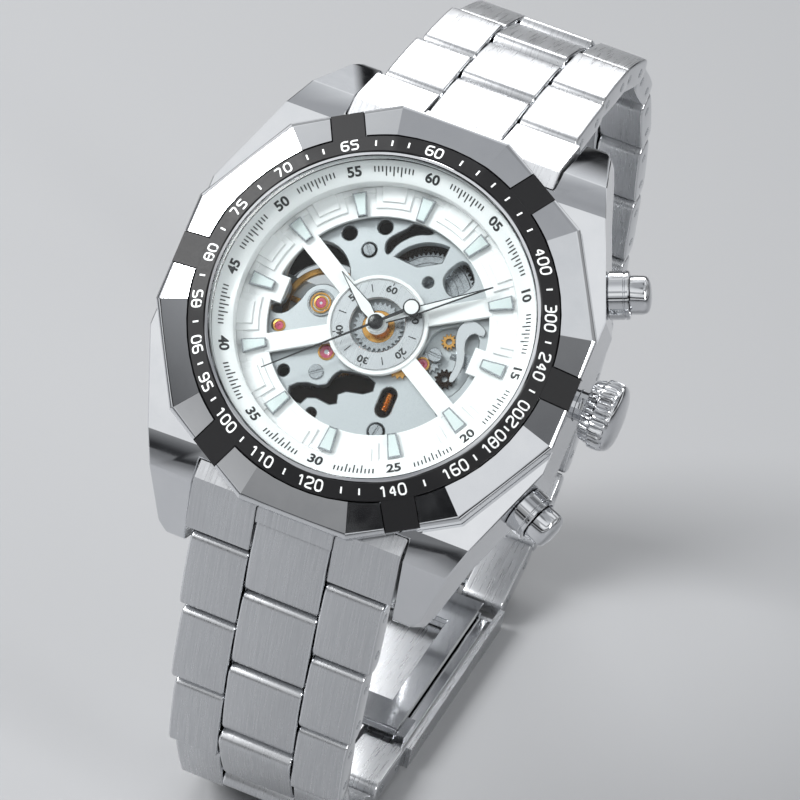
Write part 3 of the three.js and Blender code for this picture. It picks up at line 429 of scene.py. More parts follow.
def plate(outlines, low, high, look, bevel=0.05):
    """A flat plate between two heights: the first outline with the others as holes, its edges bevelled."""
    data = bpy.data.curves.new("plate", "CURVE")
    data.dimensions = "2D"
    data.fill_mode = "BOTH"
    data.extrude = (high - low) / 2 - bevel
    data.bevel_depth = bevel
    data.bevel_resolution = 0
    data.offset = -bevel
    for outline in outlines:
        spline = data.splines.new("POLY")
        spline.points.add(len(outline) - 1)
        flat = np.column_stack([outline, np.zeros(len(outline)), np.ones(len(outline))])
        spline.points.foreach_set("co", flat.ravel())
        spline.use_cyclic_u = True
    points, faces, look = from_curve(data, look)
    return points + np.array([0, 0, (low + high) / 2]), faces, look


NUMERAL_STRETCH = 1.18


def writing(text, size, look, thick=0.012):
    """Numerals in the plain built-in face, centred, as a thin raised print."""
    data = bpy.data.curves.new("writing", "FONT")
    data.body = text
    data.size = size
    data.align_x = "CENTER"
    data.align_y = "CENTER"
    data.extrude = thick
    data.offset = size * 0.03
    data.resolution_u = 4
    points, faces, look = from_curve(data, look)
    return points * np.array([NUMERAL_STRETCH, 1, 1]), faces, look


def round_the_dial(shape, clock, radius, height, inwards=False):
    """Bends a flat shape round the dial at a clock angle. height is a number or a function of radius."""
    points, faces, look = shape
    sign = -1 if inwards else 1
    a = math.radians(90 - clock) - sign * points[:, 0] / radius
    r = radius + sign * points[:, 1]
    level = height(r, a) if callable(height) else height
    return np.column_stack([r * np.cos(a), r * np.sin(a), level + points[:, 2]]), faces, look


# ---- Pieces ----

BEVEL_ANGLE = 32  # edges sharper than this, in degrees, stay crisp on a new piece
FLAT_ANGLE = 13  # and on a copied solid
EDGE_ANGLE = 24  # a copied solid's edges sharper than this are bevelled
FLAT_SPREAD = 1  # facets within this many degrees are one flat
WELD = 1e-7  # metres between points that are one
CAD_WELD = 2e-6


def piece(name, shapes, where, body, nodes=()):
    """Joins shapes into one object that rides on a body, takes the materials of its looks, and hides the CAD nodes
    it stands for.
    """
    looks = list(dict.fromkeys(look for _, _, look in shapes))
    points, faces, indexes, start = [], [], [], 0
    for shape_points, shape_faces, look in shapes:
        points.append(shape_points)
        faces += [[v + start for v in face] for face in shape_faces]
        indexes += [looks.index(look)] * len(shape_faces)
        start += len(shape_points)
    mesh = bpy.data.meshes.new(name)
    mesh.from_pydata(np.concatenate(points).tolist(), [], faces)
    mesh.transform(where)
    for look in looks:
        mesh.materials.append(LOOKS[look])
    mesh.polygons.foreach_set("material_index", indexes)
    tidy = bmesh.new()
    tidy.from_mesh(mesh)
    bmesh.ops.remove_doubles(tidy, verts=tidy.verts, dist=WELD)
    bmesh.ops.recalc_face_normals(tidy, faces=tidy.faces)
    tidy.to_mesh(mesh)
    tidy.free()
    mesh.polygons.foreach_set("use_smooth", [True] * len(mesh.polygons))
    mesh.set_sharp_from_angle(angle=math.radians(BEVEL_ANGLE))
    made = bpy.data.objects.new(name, mesh)
    bpy.context.scene.collection.objects.link(made)
    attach(made, body)
    if nodes:
        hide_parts(*nodes)
    return made


def bevelled_copy(node, name, body, slot, width, look=None):
    """A CAD node's solid with its flats merged and its sharp edges broken by a small bevel."""
    tidy = bmesh.new()
    tidy.from_mesh(NODES[node].data)
    bmesh.ops.remove_doubles(tidy, verts=tidy.verts, dist=CAD_WELD)
    flat = math.radians(FLAT_SPREAD)
    bmesh.ops.dissolve_limit(tidy, angle_limit=flat, verts=tidy.verts, edges=tidy.edges)
    limit = math.radians(EDGE_ANGLE)
    sharp = [e for e in tidy.edges if len(e.link_faces) == 2 and e.calc_face_angle() > limit]
    bmesh.ops.bevel(
        tidy, geom=sharp, offset=width * MM, segments=1, profile=0.5, affect="EDGES", clamp_overlap=True
    )
    mesh = bpy.data.meshes.new(name)
    tidy.to_mesh(mesh)
    tidy.free()
    mesh.materials.append(LOOKS[look or slot])
    mesh.polygons.foreach_set("use_smooth", [True] * len(mesh.polygons))
    mesh.polygons.foreach_set("material_index", [0] * len(mesh.polygons))
    mesh.set_sharp_from_angle(angle=math.radians(FLAT_ANGLE))
    made = bpy.data.objects.new(name, mesh)
    bpy.context.scene.collection.objects.link(made)
    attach(made, body)
    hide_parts(node)
    return made


# ---- Bezel and scale ring ----

BEZEL_BORE = 16.0
BEZEL_FLAT = 21.0  # from the axis to each of the twelve flats
BEZEL_TOP = 1.5
BEZEL_SHOULDER = -0.3
BEZEL_FOOT = -1.6
FACET_TOP = 16.3
RING_INNER = 16.45
RING_OUTER = 18.2
RING_SUNK = 0.35
SEAT_INNER = 17.6  # the tab seats' inner edge
TAB_HALF = 1.65
TAB_GAP = 0.06  # between a tab and the facets beside it
LOBE_COLUMNS = 46
EDGE = 0.12  # bevel along the facets' edges
TAB_CLOCKS = (30, 90, 150, 210, 270, 330)


def facet_distance(r, a):
    """Distance from the axis to the flat that faces an angle: r cos(a - nearest multiple of 30)."""
    nearest = np.round(np.degrees(a) / 30) * 30
    return r * np.cos(a - np.radians(nearest))


def facet_height(r, a):
    """The facets fall in a straight line from the inner lip to the shoulder."""
    d = np.clip(facet_distance(r, a), FACET_TOP, BEZEL_FLAT)
    return BEZEL_TOP + (BEZEL_SHOULDER - BEZEL_TOP) * (d - FACET_TOP) / (BEZEL_FLAT - FACET_TOP)


def edge_radius(a, inset=0.0):
    """The twelve-sided outline's radius at each angle, moved in by an inset."""
    return (BEZEL_FLAT - inset) / facet_distance(1.0, a)


def bezel_lobe(middle):
    """One facet group between two tabs: columns run from tab edge to tab edge through both corners."""
    low, high = middle - 30, middle + 30
    corners = np.radians([middle - 15, middle + 15])
    reach = np.array([RING_OUTER, RING_OUTER + EDGE])
    outer = np.linspace(RING_OUTER + EDGE, BEZEL_FLAT - EDGE, 10)[1:]
    distances = np.concatenate([reach, outer, [BEZEL_FLAT, BEZEL_FLAT, BEZEL_FLAT - EDGE]])
    drops = [RING_SUNK, 0] + [0] * len(outer) + [EDGE * 0.8, None, None]
    feet = {len(distances) - 2: BEZEL_FOOT + EDGE, len(distances) - 1: BEZEL_FOOT}
    rows = []
    for index, distance in enumerate(distances):
        span = np.arcsin((TAB_HALF + TAB_GAP) / max(distance, RING_OUTER))
        ends = np.radians([low, high]) + np.array([span, -span])
        stops = [ends[0], ends[0] + EDGE / distance, corners[0] - EDGE / distance, corners[0],
                 corners[0] + EDGE / distance, corners[1] - EDGE / distance, corners[1],
                 corners[1] + EDGE / distance, ends[1] - EDGE / distance, ends[1]]
        a = np.interp(np.linspace(0, len(stops) - 1, LOBE_COLUMNS), np.arange(len(stops)), stops)
        share = np.clip((distance - RING_OUTER) / (BEZEL_FLAT - RING_OUTER), 0, 1)
        r = (1 - share) * distance + share * edge_radius(a, BEZEL_FLAT - distance)
        if index in feet:
            z = np.full_like(a, feet[index])
        else:
            z = facet_height(r, a) - drops[index]
            z[[0, -1]] -= RING_SUNK
        rows.append(np.column_stack([r * np.cos(a), r * np.sin(a), z]))
    faces = sheet_faces(len(rows), LOBE_COLUMNS, False)
    return np.concatenate(rows), faces, "polished_steel"


def make_bezel():
    """The polished bezel: an inner lip, six facet groups, the tab seats and the skirt."""
    lip = turned(
        [[BEZEL_BORE, BEZEL_FOOT], [BEZEL_BORE, BEZEL_TOP - 0.1], [BEZEL_BORE + 0.1, BEZEL_TOP],
         [RING_INNER - 0.1, BEZEL_TOP - 0.02], [RING_INNER, BEZEL_TOP - 0.12], [RING_INNER, BEZEL_TOP - 0.5],
         [RING_OUTER + 0.3, 0.2], [RING_OUTER + 0.3, BEZEL_FOOT]],
        "polished_steel", 192, closed=True,
    )
    a = np.radians(np.arange(0, 360, 1.25))
    skirt = BEZEL_FLAT - 0.04
    section = (
        (SEAT_INNER, 0.1), (BEZEL_FLAT - 0.5, BEZEL_SHOULDER - 0.55), (skirt, BEZEL_SHOULDER - 0.5),
        (skirt, BEZEL_FOOT + EDGE), (BEZEL_FLAT - EDGE, BEZEL_FOOT), (SEAT_INNER, BEZEL_FOOT),
    )
    under = []
    for distance, z in section:
        twelve_sided = distance > SEAT_INNER
        r = distance * edge_radius(a) / BEZEL_FLAT if twelve_sided else np.full_like(a, distance)
        under.append(np.column_stack([r * np.cos(a), r * np.sin(a), np.full_like(a, z)]))
    under.append(under[0])
    seat = np.stack(under)
    body = (seat.reshape(-1, 3), sheet_faces(len(under), len(a), True), "polished_steel")
    lobes = [bezel_lobe(middle) for middle in range(30, 360, 60)]
    piece("bezel_polished", [lip, body] + lobes, HEAD, "case", ["bezel"])


# Strokes of the ring's squarish numerals, in a box one wide and one high. A bar stands for a tick.
DIGITS = {
    "0": [[(0, 0), (1, 0), (1, 1), (0, 1), (0, 0)]],
    "1": [[(0.25, 0.75), (0.7, 1), (0.7, 0)]],
    "2": [[(0, 0.8), (0, 1), (1, 1), (1, 0.55), (0, 0.3), (0, 0), (1, 0)]],
    "3": [[(0, 1), (1, 1), (1, 0), (0, 0)], [(0.3, 0.52), (1, 0.52)]],
    "4": [[(0.78, 0), (0.78, 1), (0, 0.3), (1, 0.3)]],
    "5": [[(1, 1), (0, 1), (0, 0.56), (1, 0.56), (1, 0), (0, 0)]],
    "6": [[(1, 1), (0, 1), (0, 0), (1, 0), (1, 0.55), (0, 0.55)]],
    "7": [[(0, 1), (1, 1), (0.4, 0)]],
    "8": [[(0, 0), (1, 0), (1, 1), (0, 1), (0, 0)], [(0, 0.52), (1, 0.52)]],
    "9": [[(0, 0), (1, 0), (1, 1), (0, 1), (0, 0.45), (1, 0.45)]],
    "|": [[(0.5, 0.05), (0.5, 0.95)]],
}
DIGIT_WIDE = 0.66
DIGIT_TALL = 0.98
DIGIT_STEP = 0.96
STROKE = 0.17
CORNER_CUT = 0.22  # share of a side cut off at each corner
PRINT_THICK = 0.015


def stroke(points):
    """A flat ribbon along a line. Its corners are rounded by cutting off a share of each side, twice."""
    points = np.array(points, dtype=float)
    looped = np.allclose(points[0], points[-1])
    for _ in range(2):
        near = (1 - CORNER_CUT) * points[:-1] + CORNER_CUT * points[1:]
        far = CORNER_CUT * points[:-1] + (1 - CORNER_CUT) * points[1:]
        inner = np.stack([near, far], 1)
        inner = inner.reshape(-1, 2)
        opened = np.vstack([points[:1], inner[1:-1], points[-1:]])
        points = np.vstack([inner, inner[:1]]) if looped else opened
    ahead = np.diff(points, axis=0)
    ahead /= np.linalg.norm(ahead, axis=1, keepdims=True) + 1e-12
    before = np.vstack([ahead[-1:] if looped else ahead[:1], ahead])
    after = np.vstack([ahead, ahead[:1] if looped else ahead[-1:]])
    along = before + after
    along /= np.linalg.norm(along, axis=1, keepdims=True)
    side = np.column_stack([-along[:, 1], along[:, 0]]) * STROKE / 2
    rings = []
    for offset, level in ((side, 0), (side, PRINT_THICK), (-side, PRINT_THICK), (-side, 0)):
        rings.append(np.column_stack([points + offset, np.full(len(points), level)]))
    return tube_of(np.stack(rings, 1), "white_print")


def scale_number(text):
    """A number in squarish strokes, centred."""
    shapes = []
    for place, letter in enumerate(text):
        left = (place - (len(text) - 1) / 2) * DIGIT_STEP - DIGIT_WIDE / 2
        for line in DIGITS[letter]:
            scaled = [(left + x * DIGIT_WIDE, (y - 0.5) * DIGIT_TALL) for x, y in line]
            shapes.append(stroke(scaled))
    return shapes


# The scale's numbers by their clock angles, which follow no even step.
RING_NUMBERS = {
    358: "60", 330: "65", 307: "70", 288: "75", 271: "80", 255: "85", 240: "90", 227: "95", 213: "100",
    196: "110", 178: "120", 151: "140", 130: "160", 115: "180", 103: "200", 86: "240", 70: "300", 51: "400",
}
NUMBER_R = 17.33
TURNED_IN = (95, 235)  # clock angles between which the numbers stand with their tops to the centre
TICK_EVERY = 7.0


def make_insert():
    """The black ring and its six tabs, following the facets, with white numbers and strokes."""
    shapes = []
    a = np.radians(np.arange(0, 360, 1.0))
    rings = []
    section = (
        (RING_INNER + 0.04, -0.5), (RING_INNER + 0.04, -0.06), (RING_INNER + 0.1, -0.01), (17.3, -0.01),
        (RING_OUTER - 0.08, -0.01), (RING_OUTER - 0.03, -0.06), (RING_OUTER - 0.03, -0.5),
    )
    for r, lift in section:
        radius = np.full_like(a, r)
        z = facet_height(radius, a) + lift
        rings.append(np.column_stack([radius * np.cos(a), radius * np.sin(a), z]))
    rings.append(rings[0])
    grid = np.stack(rings)
    shapes.append((grid.reshape(-1, 3), sheet_faces(len(rings), len(a), True), "black_ring"))
    for clock in TAB_CLOCKS:
        x = np.linspace(SEAT_INNER, BEZEL_FLAT - 0.02, 12)
        flat_half = TAB_HALF - 0.06
        sides = np.array([-TAB_HALF, -TAB_HALF, -flat_half, flat_half, TAB_HALF, TAB_HALF])
        lifts = np.array([-0.45, -0.09, -0.03, -0.03, -0.09, -0.45])
        z = BEZEL_TOP + (BEZEL_SHOULDER - BEZEL_TOP) * (x - FACET_TOP) / (BEZEL_FLAT - FACET_TOP)
        rings = [np.column_stack([np.full(6, xi), sides, zi + lifts]) for xi, zi in zip(x, z)]
        shapes.append(moved(tube_of(np.stack(rings), "black_ring"), 90 - clock))
    clocks = sorted(RING_NUMBERS)
    for here, after in zip(clocks, clocks[1:] + [clocks[0] + 360]):
        inwards = TURNED_IN[0] < here < TURNED_IN[1]
        for shape in scale_number(RING_NUMBERS[here]):
            shapes.append(round_the_dial(shape, here, NUMBER_R, facet_height, inwards))
        widths = [len(RING_NUMBERS[c % 360]) * DIGIT_STEP for c in (here, after)]
        room = [width / 2 / NUMBER_R * 180 / math.pi for width in widths]
        gap = after - here - room[0] - room[1]
        count = max(1, int(gap / TICK_EVERY))
        for k in range(count):
            clock = here + room[0] + gap * (k + 1) / (count + 1)
            tick = stroke([(0, -0.3), (0, 0.3)])
            shapes.append(round_the_dial(tick, clock, NUMBER_R, facet_height))
    piece("scale_ring", shapes, HEAD, "case", ["bezel_insert"])


make_bezel()
make_insert()

# ---- Crystals, minute ring and dial ----

CRYSTAL_R = 15.9
CRYSTAL_FOOT = 0.4
CRYSTAL_TOP = 1.75
DIAL_TOP = -2.6
DIAL_FOOT = -3.1
DIAL_OPENING = 10.95
FLANGE_INNER = 13.9
RING_STEP = -0.45  # height of the minute ring's inner edge
FLANGE_TOP = 0.3
FLANGE_FOOT = -2.3
FLANGE_RISE = 1.4  # width over which the minute ring rises
MINUTE_FIGURE_R = 14.92
MINUTE_TICK_R = 15.0
MINUTE_TICK_STEP = 1.45  # degrees between ticks
MINUTES_IN = (115, 245)  # clock angles between which the minute figures stand tops to the centre
PRINT_LIFT = 0.01
HOURS = 12


def flange_height(r, a):
    """The minute ring rises in a straight line from its inner step to the crystal."""
    share = np.clip((r - FLANGE_INNER - 0.25) / FLANGE_RISE, 0, 1)
    return RING_STEP + (FLANGE_TOP - RING_STEP) * share


def printed_height(r, a):
    """The height of figures printed on the minute ring."""
    return flange_height(r, a) + PRINT_LIFT


def make_glass():
    """The flat crystal, its upper edge turned down in a small round."""
    profile = [
        [15.85, CRYSTAL_FOOT], [CRYSTAL_R, CRYSTAL_FOOT + 0.05], [CRYSTAL_R, CRYSTAL_TOP - 0.35],
        [15.8, CRYSTAL_TOP - 0.1], [15.55, CRYSTAL_TOP], [15.45, CRYSTAL_TOP], [0.01, CRYSTAL_TOP],
    ]
    top = turned(profile, "crystal_glass", 128)
    piece("crystal_clear", [top], HEAD, "case", ["crystal"])


def make_flange():
    """The sloping white minute ring with its printed figures, and ticks between them."""
    profile = [
        [CRYSTAL_R, FLANGE_FOOT], [CRYSTAL_R, FLANGE_TOP], [15.6, FLANGE_TOP],
        [FLANGE_INNER + 0.25, RING_STEP], [FLANGE_INNER + 0.06, RING_STEP - 0.12],
        [FLANGE_INNER, RING_STEP - 0.3], [FLANGE_INNER, FLANGE_FOOT],
    ]
    shapes = [turned(profile, "white_dial", 192, closed=True)]
    for number in range(HOURS):
        text = "60" if number == 0 else f"{number * 5:02d}"
        clock = number * 30
        inwards = MINUTES_IN[0] < clock < MINUTES_IN[1]
        label = writing(text, 1.25, "black_print")
        shapes.append(round_the_dial(label, clock, MINUTE_FIGURE_R, printed_height, inwards))
        for k in range(-5, 6):
            length = 0.85 if k in (-2, 0, 2) else 0.5
            tick = box_shape((-0.065, 0.3 - length, 0), (0.065, 0.3, 0.015), "black_print")
            at = clock + 15 + k * MINUTE_TICK_STEP
            shapes.append(round_the_dial(tick, at, MINUTE_TICK_R, flange_height))
    piece("minute_ring", shapes, HEAD, "case", ["flange_ring"])


DIAL_R = 14.35
RELIEF_R = 13.95  # outer edge of the blocks in relief
ARM_CLOCKS = (60, 120, 240, 300)
HUB_R = 5.0
HUB_BORE = 2.75


def sector(inner, outer, half_angle, steps=8):
    """A slice of a ring about 12 o'clock, as an outline."""
    far = arc(0, 0, outer, 90 - half_angle, 90 + half_angle, steps)
    near = arc(0, 0, inner, 90 + half_angle, 90 - half_angle, steps)
    return np.vstack([far, near])


def make_dial():
    """The open-worked dial: ring, arms and hub, relief blocks and batons standing on it."""
    hub = circle(0, 0, HUB_R, 96)
    opening = circle(0, 0, DIAL_OPENING, 120)
    shapes = [
        plate([circle(0, 0, DIAL_R, 144), opening], DIAL_FOOT, DIAL_TOP, "white_dial", 0.06),
        plate([hub, circle(0, 0, HUB_BORE, 72)], DIAL_FOOT, DIAL_TOP - 0.02, "white_dial", 0.05),
        plate([hub, circle(0, 0, 4.62, 96)], DIAL_TOP - 0.05, DIAL_TOP + 0.22, "white_dial", 0.06),
    ]
    arm_outline = [(-0.9, HUB_R - 0.3), (0.9, HUB_R - 0.3), (0.95, 11.3), (-0.95, 11.3)]
    arm = plate([arm_outline], DIAL_FOOT, DIAL_TOP + 0.06, "white_dial", 0.06)
    shapes += [moved(arm, -clock) for clock in ARM_CLOCKS]
    tab_outline = [(-1.35, 9.85), (1.35, 9.85), (1.35, 11.4), (-1.35, 11.4)]
    tab = plate([tab_outline], DIAL_FOOT, DIAL_TOP + 0.02, "white_dial", 0.06)
    shapes += [moved(tab, -clock) for clock in (90, 270)]
    # Blocks in relief stand between the hours, and a baton with a lume fill stands on each hour.
    low = plate([sector(11.75, RELIEF_R, 8.2)], DIAL_TOP - 0.05, DIAL_TOP + 0.22, "white_dial", 0.06)
    tall = plate([sector(12.35, RELIEF_R, 5.2)], DIAL_TOP + 0.15, DIAL_TOP + 0.42, "white_dial", 0.06)
    step = plate([sector(13.3, RELIEF_R, 14.0)], DIAL_TOP - 0.05, DIAL_TOP + 0.12, "white_dial", 0.05)
    rim_outline = [(-0.46, 11.0), (0.46, 11.0), (0.72, 13.45), (-0.72, 13.45)]
    rim = plate([rim_outline], DIAL_TOP - 0.02, DIAL_TOP + 0.5, "movement_steel", 0.07)
    fill_outline = [(-0.32, 11.16), (0.32, 11.16), (0.55, 13.28), (-0.55, 13.28)]
    fill = plate([fill_outline], DIAL_TOP + 0.45, DIAL_TOP + 0.55, "lume", 0.03)
    for hour in range(HOURS):
        shapes += [moved(block, 15 - 30 * hour) for block in (low, tall, step)]
        shapes += [moved(part, -30 * hour) for part in (rim, fill)]
    piece("dial_open_worked", shapes, HEAD, "case", ["dial"])


def make_centre_disc():
    """The brushed disc round the hands, with figures by tens and ticks."""
    disc_foot, disc_top = DIAL_TOP + 0.03, DIAL_TOP + 0.2
    outlines = [circle(0, 0, 4.5, 96), circle(0, 0, HUB_BORE, 72)]
    shapes = [plate(outlines, disc_foot, disc_top, "brushed_steel", 0.04)]
    for index, text in enumerate(("60", "10", "20", "30", "40", "50")):
        label = writing(text, 0.95, "black_print")
        shapes.append(round_the_dial(label, index * 60, 3.7, disc_top + 0.012))
        long_tick = box_shape((-0.05, -0.35, 0), (0.05, 0.45, 0.02), "black_print")
        shapes.append(round_the_dial(long_tick, index * 60 + 30, 3.65, disc_top))
        short_tick = box_shape((-0.045, 0, 0), (0.045, 0.3, 0.02), "black_print")
        shapes.append(round_the_dial(short_tick, index * 60, 4.15, disc_top))
    piece("minute_disc", shapes, HEAD, "case", ["centre_disc"])


make_glass()
make_flange()
make_dial()
make_centre_disc()

# ---- Hands ----

HOUR_CLOCK = 305
MINUTE_CLOCK = 52
SECONDS_CLOCK = 227


HOUR_FOOT = -2.1
MINUTE_FOOT = -1.7
SECONDS_FOOT = -1.2
TAIL = 3.76  # from the axis to the middle of the seconds hand's counterweight


def make_hands():
    """Dauphine hour and minute hands in white with dark edges, and a black needle with a white tail disc."""
    hour_edge = [(-0.3, 0.3), (0.3, 0.3), (0.62, 2.0), (0.05, 6.38), (-0.05, 6.38), (-0.62, 2.0)]
    hour_face = [(-0.24, 0.3), (0.24, 0.3), (0.54, 2.0), (0, 6.1), (-0.54, 2.0)]
    hour = [
        plate([hour_edge], HOUR_FOOT, -1.95, "black_hand", 0.03),
        plate([hour_face], -1.96, -1.88, "white_hand", 0.03),
        plate([circle(0, 0, 1.1), circle(0, 0, 0.79)], HOUR_FOOT, -1.9, "white_hand", 0.03),
    ]
    turned_hour = [moved(s, -HOUR_CLOCK) for s in hour]
    piece("hour_hand_white", turned_hour, HEAD, "hour_hand", ["hour_hand"])
    minute_edge = [(-0.3, 0.4), (0.3, 0.4), (0.45, 3.5), (0.06, 11.9), (-0.06, 11.9), (-0.45, 3.5)]
    minute_face = [(-0.2, 0.5), (0.2, 0.5), (0.33, 3.5), (0, 10.2), (-0.33, 3.5)]
    minute = [
        plate([minute_edge], MINUTE_FOOT, -1.57, "black_hand", 0.03),
        plate([minute_face], -1.58, -1.5, "white_hand", 0.03),
        plate([circle(0, 0, 0.95), circle(0, 0, 0.54)], MINUTE_FOOT, -1.5, "white_hand", 0.03),
    ]
    turned_minute = [moved(s, -MINUTE_CLOCK) for s in minute]
    piece("minute_hand_white", turned_minute, HEAD, "minute_hand", ["minute_hand"])
    needle = [(-0.2, -3.7), (0.2, -3.7), (0.12, 0), (0.05, 12), (-0.05, 12), (-0.12, 0)]
    boss = [
        [0.75, SECONDS_FOOT], [0.75, -1.0], [0.6, -0.9], [0.22, -0.86], [0.2, -0.92], [0.01, -0.92],
    ]
    seconds = [
        plate([needle], SECONDS_FOOT, -1.08, "black_hand", 0.02),
        plate([circle(0, -TAIL, 0.85)], SECONDS_FOOT, -1.05, "black_hand", 0.03),
        plate([circle(0, -TAIL, 0.7)], -1.06, -1.0, "white_hand", 0.02),
        turned(boss, "black_hand", 48),
    ]
    turned_seconds = [moved(s, -SECONDS_CLOCK) for s in seconds]
    piece("seconds_hand_black", turned_seconds, HEAD, "seconds_hand", ["seconds_hand"])


make_hands()

# ---- Case, crown and pushers ----

STEM_Z = -5.0
CROWN_FROM = 21.9
KNURLS = 28
KNURL_DEPTH = 0.3
PUSHER_R = 1.9
PUSHER_AT = (19.61, 11.2)
FLANK = 21.9  # degrees that the pushers lean from 3 o'clock


def make_crown():
    """Radius falls by a cosine groove with the angle inside each knurled row, and the cap is a dome."""
    steps = KNURLS * 8
    a = np.linspace(0, 2 * math.pi, steps, endpoint=False)
    # Height, radius, whether the row is knurled, and whether its grooves are shifted by half a step.
    rows = [
        (0.0, 1.9, 0, 0), (0.0, 2.6, 0, 0), (0.1, 2.95, 1, 0), (0.9, 3.2, 1, 0), (1.05, 3.1, 0, 0),
        (1.15, 3.3, 0, 0), (1.25, 3.45, 1, 1), (2.2, 3.5, 1, 1), (2.55, 3.45, 1, 1), (2.7, 3.35, 0, 0),
        (2.95, 3.3, 0, 0), (3.2, 3.05, 0, 0), (3.42, 2.5, 0, 0), (3.55, 1.6, 0, 0), (3.6, 0.7, 0, 0),
        (3.6, 0.02, 0, 0),
    ]
    rings = []
    for z, r, cut, shifted in rows:
        groove = 0.5 - 0.5 * np.cos(KNURLS * a + math.pi * shifted)
        radius = r - KNURL_DEPTH * cut * groove
        height = np.full(steps, CROWN_FROM + z)
        rings.append(np.column_stack([radius * np.cos(a), radius * np.sin(a), height]))
    stem_frame = placing(head_point(0, 0, STEM_Z), NORTH, OUT, EAST)
    crown = tube_of(np.stack(rings), "polished_steel")
    piece("crown_knurled", [crown], stem_frame, "crown", ["crown"])


def make_pushers():
    """The two pushers: a turned collar on the case, and a domed cap on a stem that slides in it."""
    for side in (1, -1):
        where = head_axis_frame((PUSHER_AT[0], side * PUSHER_AT[1], STEM_Z), side * FLANK)
        number = "2" if side > 0 else "4"
        collar_profile = [
            [0.95, 0.06], [2.3, 0.06], [2.4, 0.16], [2.4, 1.5], [2.32, 1.58], [2.32, 1.66], [2.4, 1.74],
            [2.4, 2.0], [2.3, 2.1], [2.05, 2.1], [2.02, 2.0], [2.02, 1.05], [0.95, 1.05],
        ]
        collar = turned(collar_profile, "polished_steel", 96, closed=True)
        guide = "pusher_collar_" + number
        piece("pusher_guide_" + number, [collar], where, "case", [guide])
        cap_profile = [
            [0.74, -1.6], [0.74, 2.12], [PUSHER_R - 0.1, 2.12], [PUSHER_R, 2.22], [PUSHER_R, 3.45],
            [PUSHER_R - 0.1, 3.75], [PUSHER_R - 0.35, 3.98], [PUSHER_R - 0.8, 4.12], [0.5, 4.2], [0.01, 4.2],
        ]
        cap = turned(cap_profile, "polished_steel", 96)
        pusher = "pusher_" + number
        piece("pusher_cap_" + number, [cap], where, pusher, [pusher])


def make_case():
    """The case middle with its edges broken, and the turned back with its window."""
    bevelled_copy("case_middle", "case_polished", "case", "polished_steel", 0.16)
    profile = [
        [17.6, -9.1], [17.6, -9.7], [17.4, -9.95], [16.8, -10.5], [11.9, -10.5], [11.6, -10.4],
        [11.6, -10.15], [12.4, -10.15], [12.4, -9.1],
    ]
    back = turned(profile, "polished_steel", 144, closed=True)
    piece("back_polished", [back], HEAD, "case", ["case_back"])
    glass = turned([[12.3, -10.05], [12.3, -9.25], [0.01, -9.25]], "crystal_glass", 96)
    piece("back_glass", [glass], HEAD, "case", ["back_crystal"])


make_crown()
make_pushers()
make_case()

# ---- Bracelet ----

PITCH = 9.8
LINK_HALF = 1.5
END_R = PITCH / 4 - 0.1
CENTRE_HALF = 4.0
SIDE_GAP = 0.12
CLASP_SPAN = np.array([0, 36.0, 0.9])  # from the clasp's first pin to its far one
CROWN = 0.12  # share of a link's half height that its top falls by towards the ends
SIDE_EASE = 0.28  # radius of the eased edges along a link's sides
LINK_PIN_R = 0.5
PIN_STEPS = 24
SHOULDER = 4.2  # how sharply a link's top turns down into its round end


def link_bar(s0, s1, x0, x1):
    """A bar across the bracelet with ends round about s0 and s1. Its half height is the soft minimum of
    the slightly crowned top, LINK_HALF (1 - CROWN u^2), and the round end, which is
    -log(exp(-k top) + exp(-k round)) / k, and each side is eased in by a quarter circle."""
    middle = (s0 + s1) / 2
    half = (s1 - s0) / 2 + END_R - 0.02
    s = middle + half * np.sin(np.linspace(-math.pi / 2, math.pi / 2, 41))
    beyond = np.maximum(np.abs(s - middle) - (s1 - s0) / 2, 0)
    round_end = np.sqrt(np.maximum(END_R**2 - beyond**2, 0))
    flat_top = LINK_HALF * (1 - CROWN * ((s - middle) / half) ** 2)
    height = -np.log(np.exp(-SHOULDER * flat_top) + np.exp(-SHOULDER * round_end)) / SHOULDER
    height = np.clip(height, 0, LINK_HALF)
    outline = np.vstack([np.column_stack([s, height]), np.column_stack([s[::-1], -height[::-1]])[1:-1]])
    quarter = np.linspace(0, math.pi / 2, 6)
    inset = SIDE_EASE * (1 - np.cos(quarter))
    depth = SIDE_EASE * (1 - np.sin(quarter))
    xs = np.concatenate([x0 + inset, x1 - inset[::-1]])
    eased = np.concatenate([depth, depth[::-1]])
    rings = []
    for x, d in zip(xs, eased):
        lengthwise = middle + (outline[:, 0] - middle) * (1 - d / half)
        upright = outline[:, 1] * (1 - d / LINK_HALF)
        rings.append(np.column_stack([np.full(len(outline), x), lengthwise, upright]))
    points, faces, _ = tube_of(np.stack(rings), "brushed_steel")
    row = len(outline)

    def on_side(face):
        """Whether a face lies on an end cap or on the outer part of an eased edge."""
        return len(face) > 4 or face[0] // row < 4 or face[0] // row > len(xs) - 6

    sides = [face for face in faces if on_side(face)]
    tops = [face for face in faces if not on_side(face)]
    return [(points, tops, "brushed_steel"), (points, sides, "polished_steel")]


def cross_pin(s, r, half):
    """A round pin across the bracelet at s."""
    section = circle(s, 0, r, PIN_STEPS)
    rings = [np.column_stack([np.full(PIN_STEPS, x), section]) for x in (-half, half)]
    return tube_of(np.stack(rings), "movement_steel")


def link_frame(start, end, flip):
    """The frame of a link: Y along it, Z out of the bracelet."""
    along = (end - start) / np.linalg.norm(end - start)
    out = np.cross(EAST, along) * (-1 if flip else 1)
    return placing(start, EAST, along, out)


